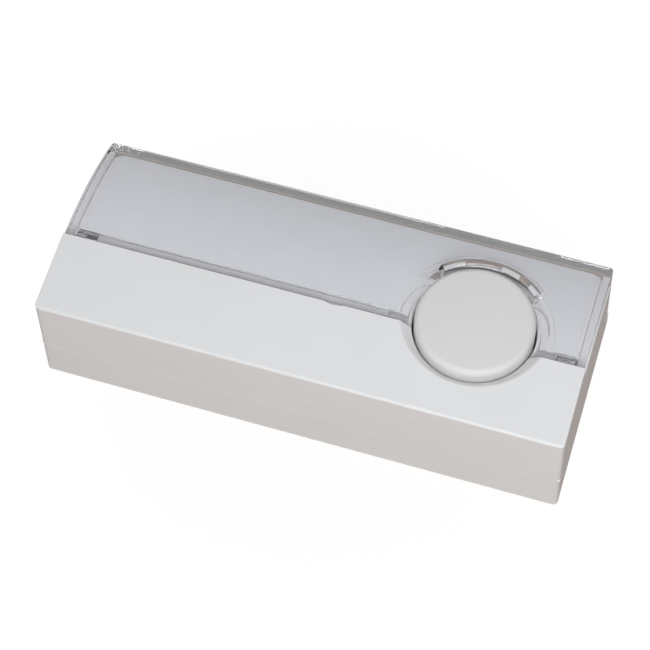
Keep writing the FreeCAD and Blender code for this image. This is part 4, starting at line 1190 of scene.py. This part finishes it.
class BELL_OT_switch(bpy.types.Operator):
    """Return spring and moving contact leaf"""

    bl_idname = "bell.switch"
    bl_label = "Spring and leaf"

    travel = 1.6

    def execute(self, context):
        m = measures(context)
        self.make_spring(m)
        self.make_leaf(m)
        return {"FINISHED"}

    def give_way(self, piece, x, y, low, height):
        """Gives the piece a mesh of its own. The share (height - travel) / height is worked out and not
        used.
        """
        (height - self.travel) / height
        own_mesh(piece)

    def make_spring(self, m):
        """A wire on x = r cos a, y = r sin a, at s - 0.75 sin(2 pi s) / (2 pi) of the way up.

        s runs from 0 to 1 and a makes the turns evenly, so the coils lie closer at both ends.
        """
        wire, radius, turns = 0.25, 3.2, 6
        low, high = SPRING_SEAT + HAIR + wire, CAP_HIGH[2] - CAP_THICK - HAIR - wire
        s = np.linspace(0.0, 1.0, turns * 48 + 1)
        angle = 2 * math.pi * turns * s
        rise = s - 0.75 * np.sin(2 * math.pi * s) / (2 * math.pi)
        path = grid_of(radius * np.cos(angle), radius * np.sin(angle), low + (high - low) * rise)
        grid, caps = tube(path + (*m.button[:2], 0.0), wire)
        spring = shell_object("coil_spring", [grid], caps, flat=False)
        fit(spring, "return_spring", "base", "spring_steel")
        self.give_way(spring, *m.button[:2], low - wire, high - low + 2 * wire)

    def make_leaf(self, m):
        """A strip whose side view follows flat root, crank and flat tip, with soft bends."""
        bx, by = m.button[:2]
        low, high, thick = LEAF_SEAT, CAP_LOW[2] - HAIR, 0.3
        root, bend, tip = bx - 15.5, bx - 10.5, bx + 1.8
        crest = bend + 2.5
        side = [
            (root, low), (bend, low), (crest, high - 2 * thick), (tip, high - thick), (tip, high),
            (crest - thick / 2, high - thick), (bend - thick / 2, low + thick), (root, low + thick),
        ]
        outline = rounded(side, (0.1, 0.9, 0.6, 0.1, 0.1, 0.9, 0.6, 0.1), 5)

        def place(local):
            return grid_of(local[..., 1], by + local[..., 0], local[..., 2])

        grid, caps = bar(outline, -1.8, 1.8, roll=0.08, place=place)
        leaf = shell_object("contact_leaf", [grid], caps, flat=False)
        fit(leaf, "moving_contact_leaf", "base", "bronze")
        self.give_way(leaf, bx, by, low, high - low)


class BELL_OT_lamp(bpy.types.Operator):
    """Festoon lamp: glass tube with a drawn-in waist at each cap, pointed caps and a coiled filament"""

    bl_idname = "bell.lamp"
    bl_label = "Lamp"

    def execute(self, context):
        m = measures(context)
        low, high = (np.array(corner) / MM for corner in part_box("lamp_glass"))
        centre, reach = (low + high) / 2, (high - low)[0] / 2
        self.make_glass(m.lamp_radius, centre, reach)
        self.make_caps(m.lamp_radius, centre, reach)
        self.make_filament(centre, reach)
        return {"FINISHED"}

    @staticmethod
    def make_glass(radius, centre, reach):
        """r = radius, less a waist 0.12 exp(-((|x| - reach + 7) / 0.8)^2) just before each cap."""
        x = np.linspace(-reach, reach, 81)
        waist = 0.12 * np.exp(-(((np.abs(x) - reach + 7.0) / 0.8) ** 2))
        outer = np.column_stack([radius - waist, x])
        inner = np.column_stack([radius - 0.5 - waist, x])[::-1]
        profile = rounded(np.concatenate([outer, inner]), [0.15, *[0] * 79, 0.15] * 2)
        glass = shell_object("lamp_tube", [lathe(closed(profile), centre, 64, axis=0)])
        fit(glass, "lamp_glass", "base", "lamp_glass")

    @staticmethod
    def make_caps(radius, centre, reach):
        """Each cap from its blunt point to its mouth, with a groove pressed round it."""
        floor = reach + HAIR
        start, bore, outside = floor + 0.5, radius + HAIR, radius + 0.3
        corners = [
            (0, start + 2.0), (0.5, start + 2.0), (1.9, start), (outside, start),
            (outside, start - 2.2), (outside - 0.1, start - 2.4), (outside, start - 2.6),
            (outside, start - 6.0), (bore, start - 6.0), (bore, floor), (0, floor),
        ]
        radii = (0, 0.3, 0.3, 0.4, 0.1, 0.1, 0.1, 0.1, 0.08, 0.2, 0)
        profile = rounded(corners, radii, 4)
        for name, sign in (("left", -1), ("right", 1)):
            grid = lathe(profile * (1, sign), centre, 64, axis=0)
            cap = shell_object("lamp_cap_%s_piece" % name, [grid])
            fit(cap, "lamp_cap_" + name, "base", "nickel")

    @staticmethod
    def make_filament(centre, reach):
        """A fine coil x = s reach, y = r cos a, z = r sin a - sag, whose radius fades to straight legs."""
        coiled, coil_radius, turns = 0.42, 0.42, 36
        s = np.linspace(-1.0, 1.0, 1801)
        share = ramp(-np.abs(s), -coiled, 0.04)
        radius = coil_radius * share * share * (3 - 2 * share)
        angle = math.pi * turns * (s + 1) / coiled
        sag = 0.35 * np.cos(np.clip(s / coiled, -1, 1) * math.pi / 2)
        path = grid_of(s * (reach - 0.1), radius * np.cos(angle), radius * np.sin(angle) - sag)
        grid, caps = tube(path + centre, 0.08, 6)
        wire = shell_object("lamp_wire", [grid], caps, flat=False)
        fit(wire, "lamp_filament", "base", "tungsten")


# panel and run


class BELL_PT_panel(bpy.types.Panel):
    """Lists the steps of the bell button"""

    bl_idname = "BELL_PT_panel"
    bl_label = "Bell Button"
    bl_space_type = "VIEW_3D"
    bl_region_type = "UI"
    bl_category = "Bell Button"

    def draw(self, context):
        for step in STEPS:
            self.layout.operator(step.bl_idname)
        scene = context.scene
        for group in (scene.bell_sizes, scene.bell_finishes, scene.bell_studio):
            for name in group.__annotations__:
                self.layout.prop(group, name)


STEPS = (
    BELL_OT_cover, BELL_OT_window, BELL_OT_card, BELL_OT_button, BELL_OT_switch, BELL_OT_lamp,
    BELL_OT_fittings, BELL_OT_stage,
)
CLASSES = (BellSizes, BellFinishes, BellStudio, *STEPS, BELL_PT_panel)


def register():
    for item in CLASSES:
        bpy.utils.register_class(item)
    bpy.types.Scene.bell_sizes = bpy.props.PointerProperty(type=BellSizes)
    bpy.types.Scene.bell_finishes = bpy.props.PointerProperty(type=BellFinishes)
    bpy.types.Scene.bell_studio = bpy.props.PointerProperty(type=BellStudio)


def unregister():
    del bpy.types.Scene.bell_studio
    del bpy.types.Scene.bell_finishes
    del bpy.types.Scene.bell_sizes
    for item in reversed(CLASSES):
        bpy.utils.unregister_class(item)


def main():
    register()
    bpy.ops.bell.cover()
    bpy.ops.bell.window()
    bpy.ops.bell.card()
    bpy.ops.bell.button()
    bpy.ops.bell.switch()
    bpy.ops.bell.lamp()
    bpy.ops.bell.fittings()
    bpy.ops.bell.stage()
    boxes = {"cad": CAD_BOX, "visual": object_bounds()}
    plain = {name: [list(map(float, corner)) for corner in box] for name, box in boxes.items()}


if __name__ == "__main__":
    main()
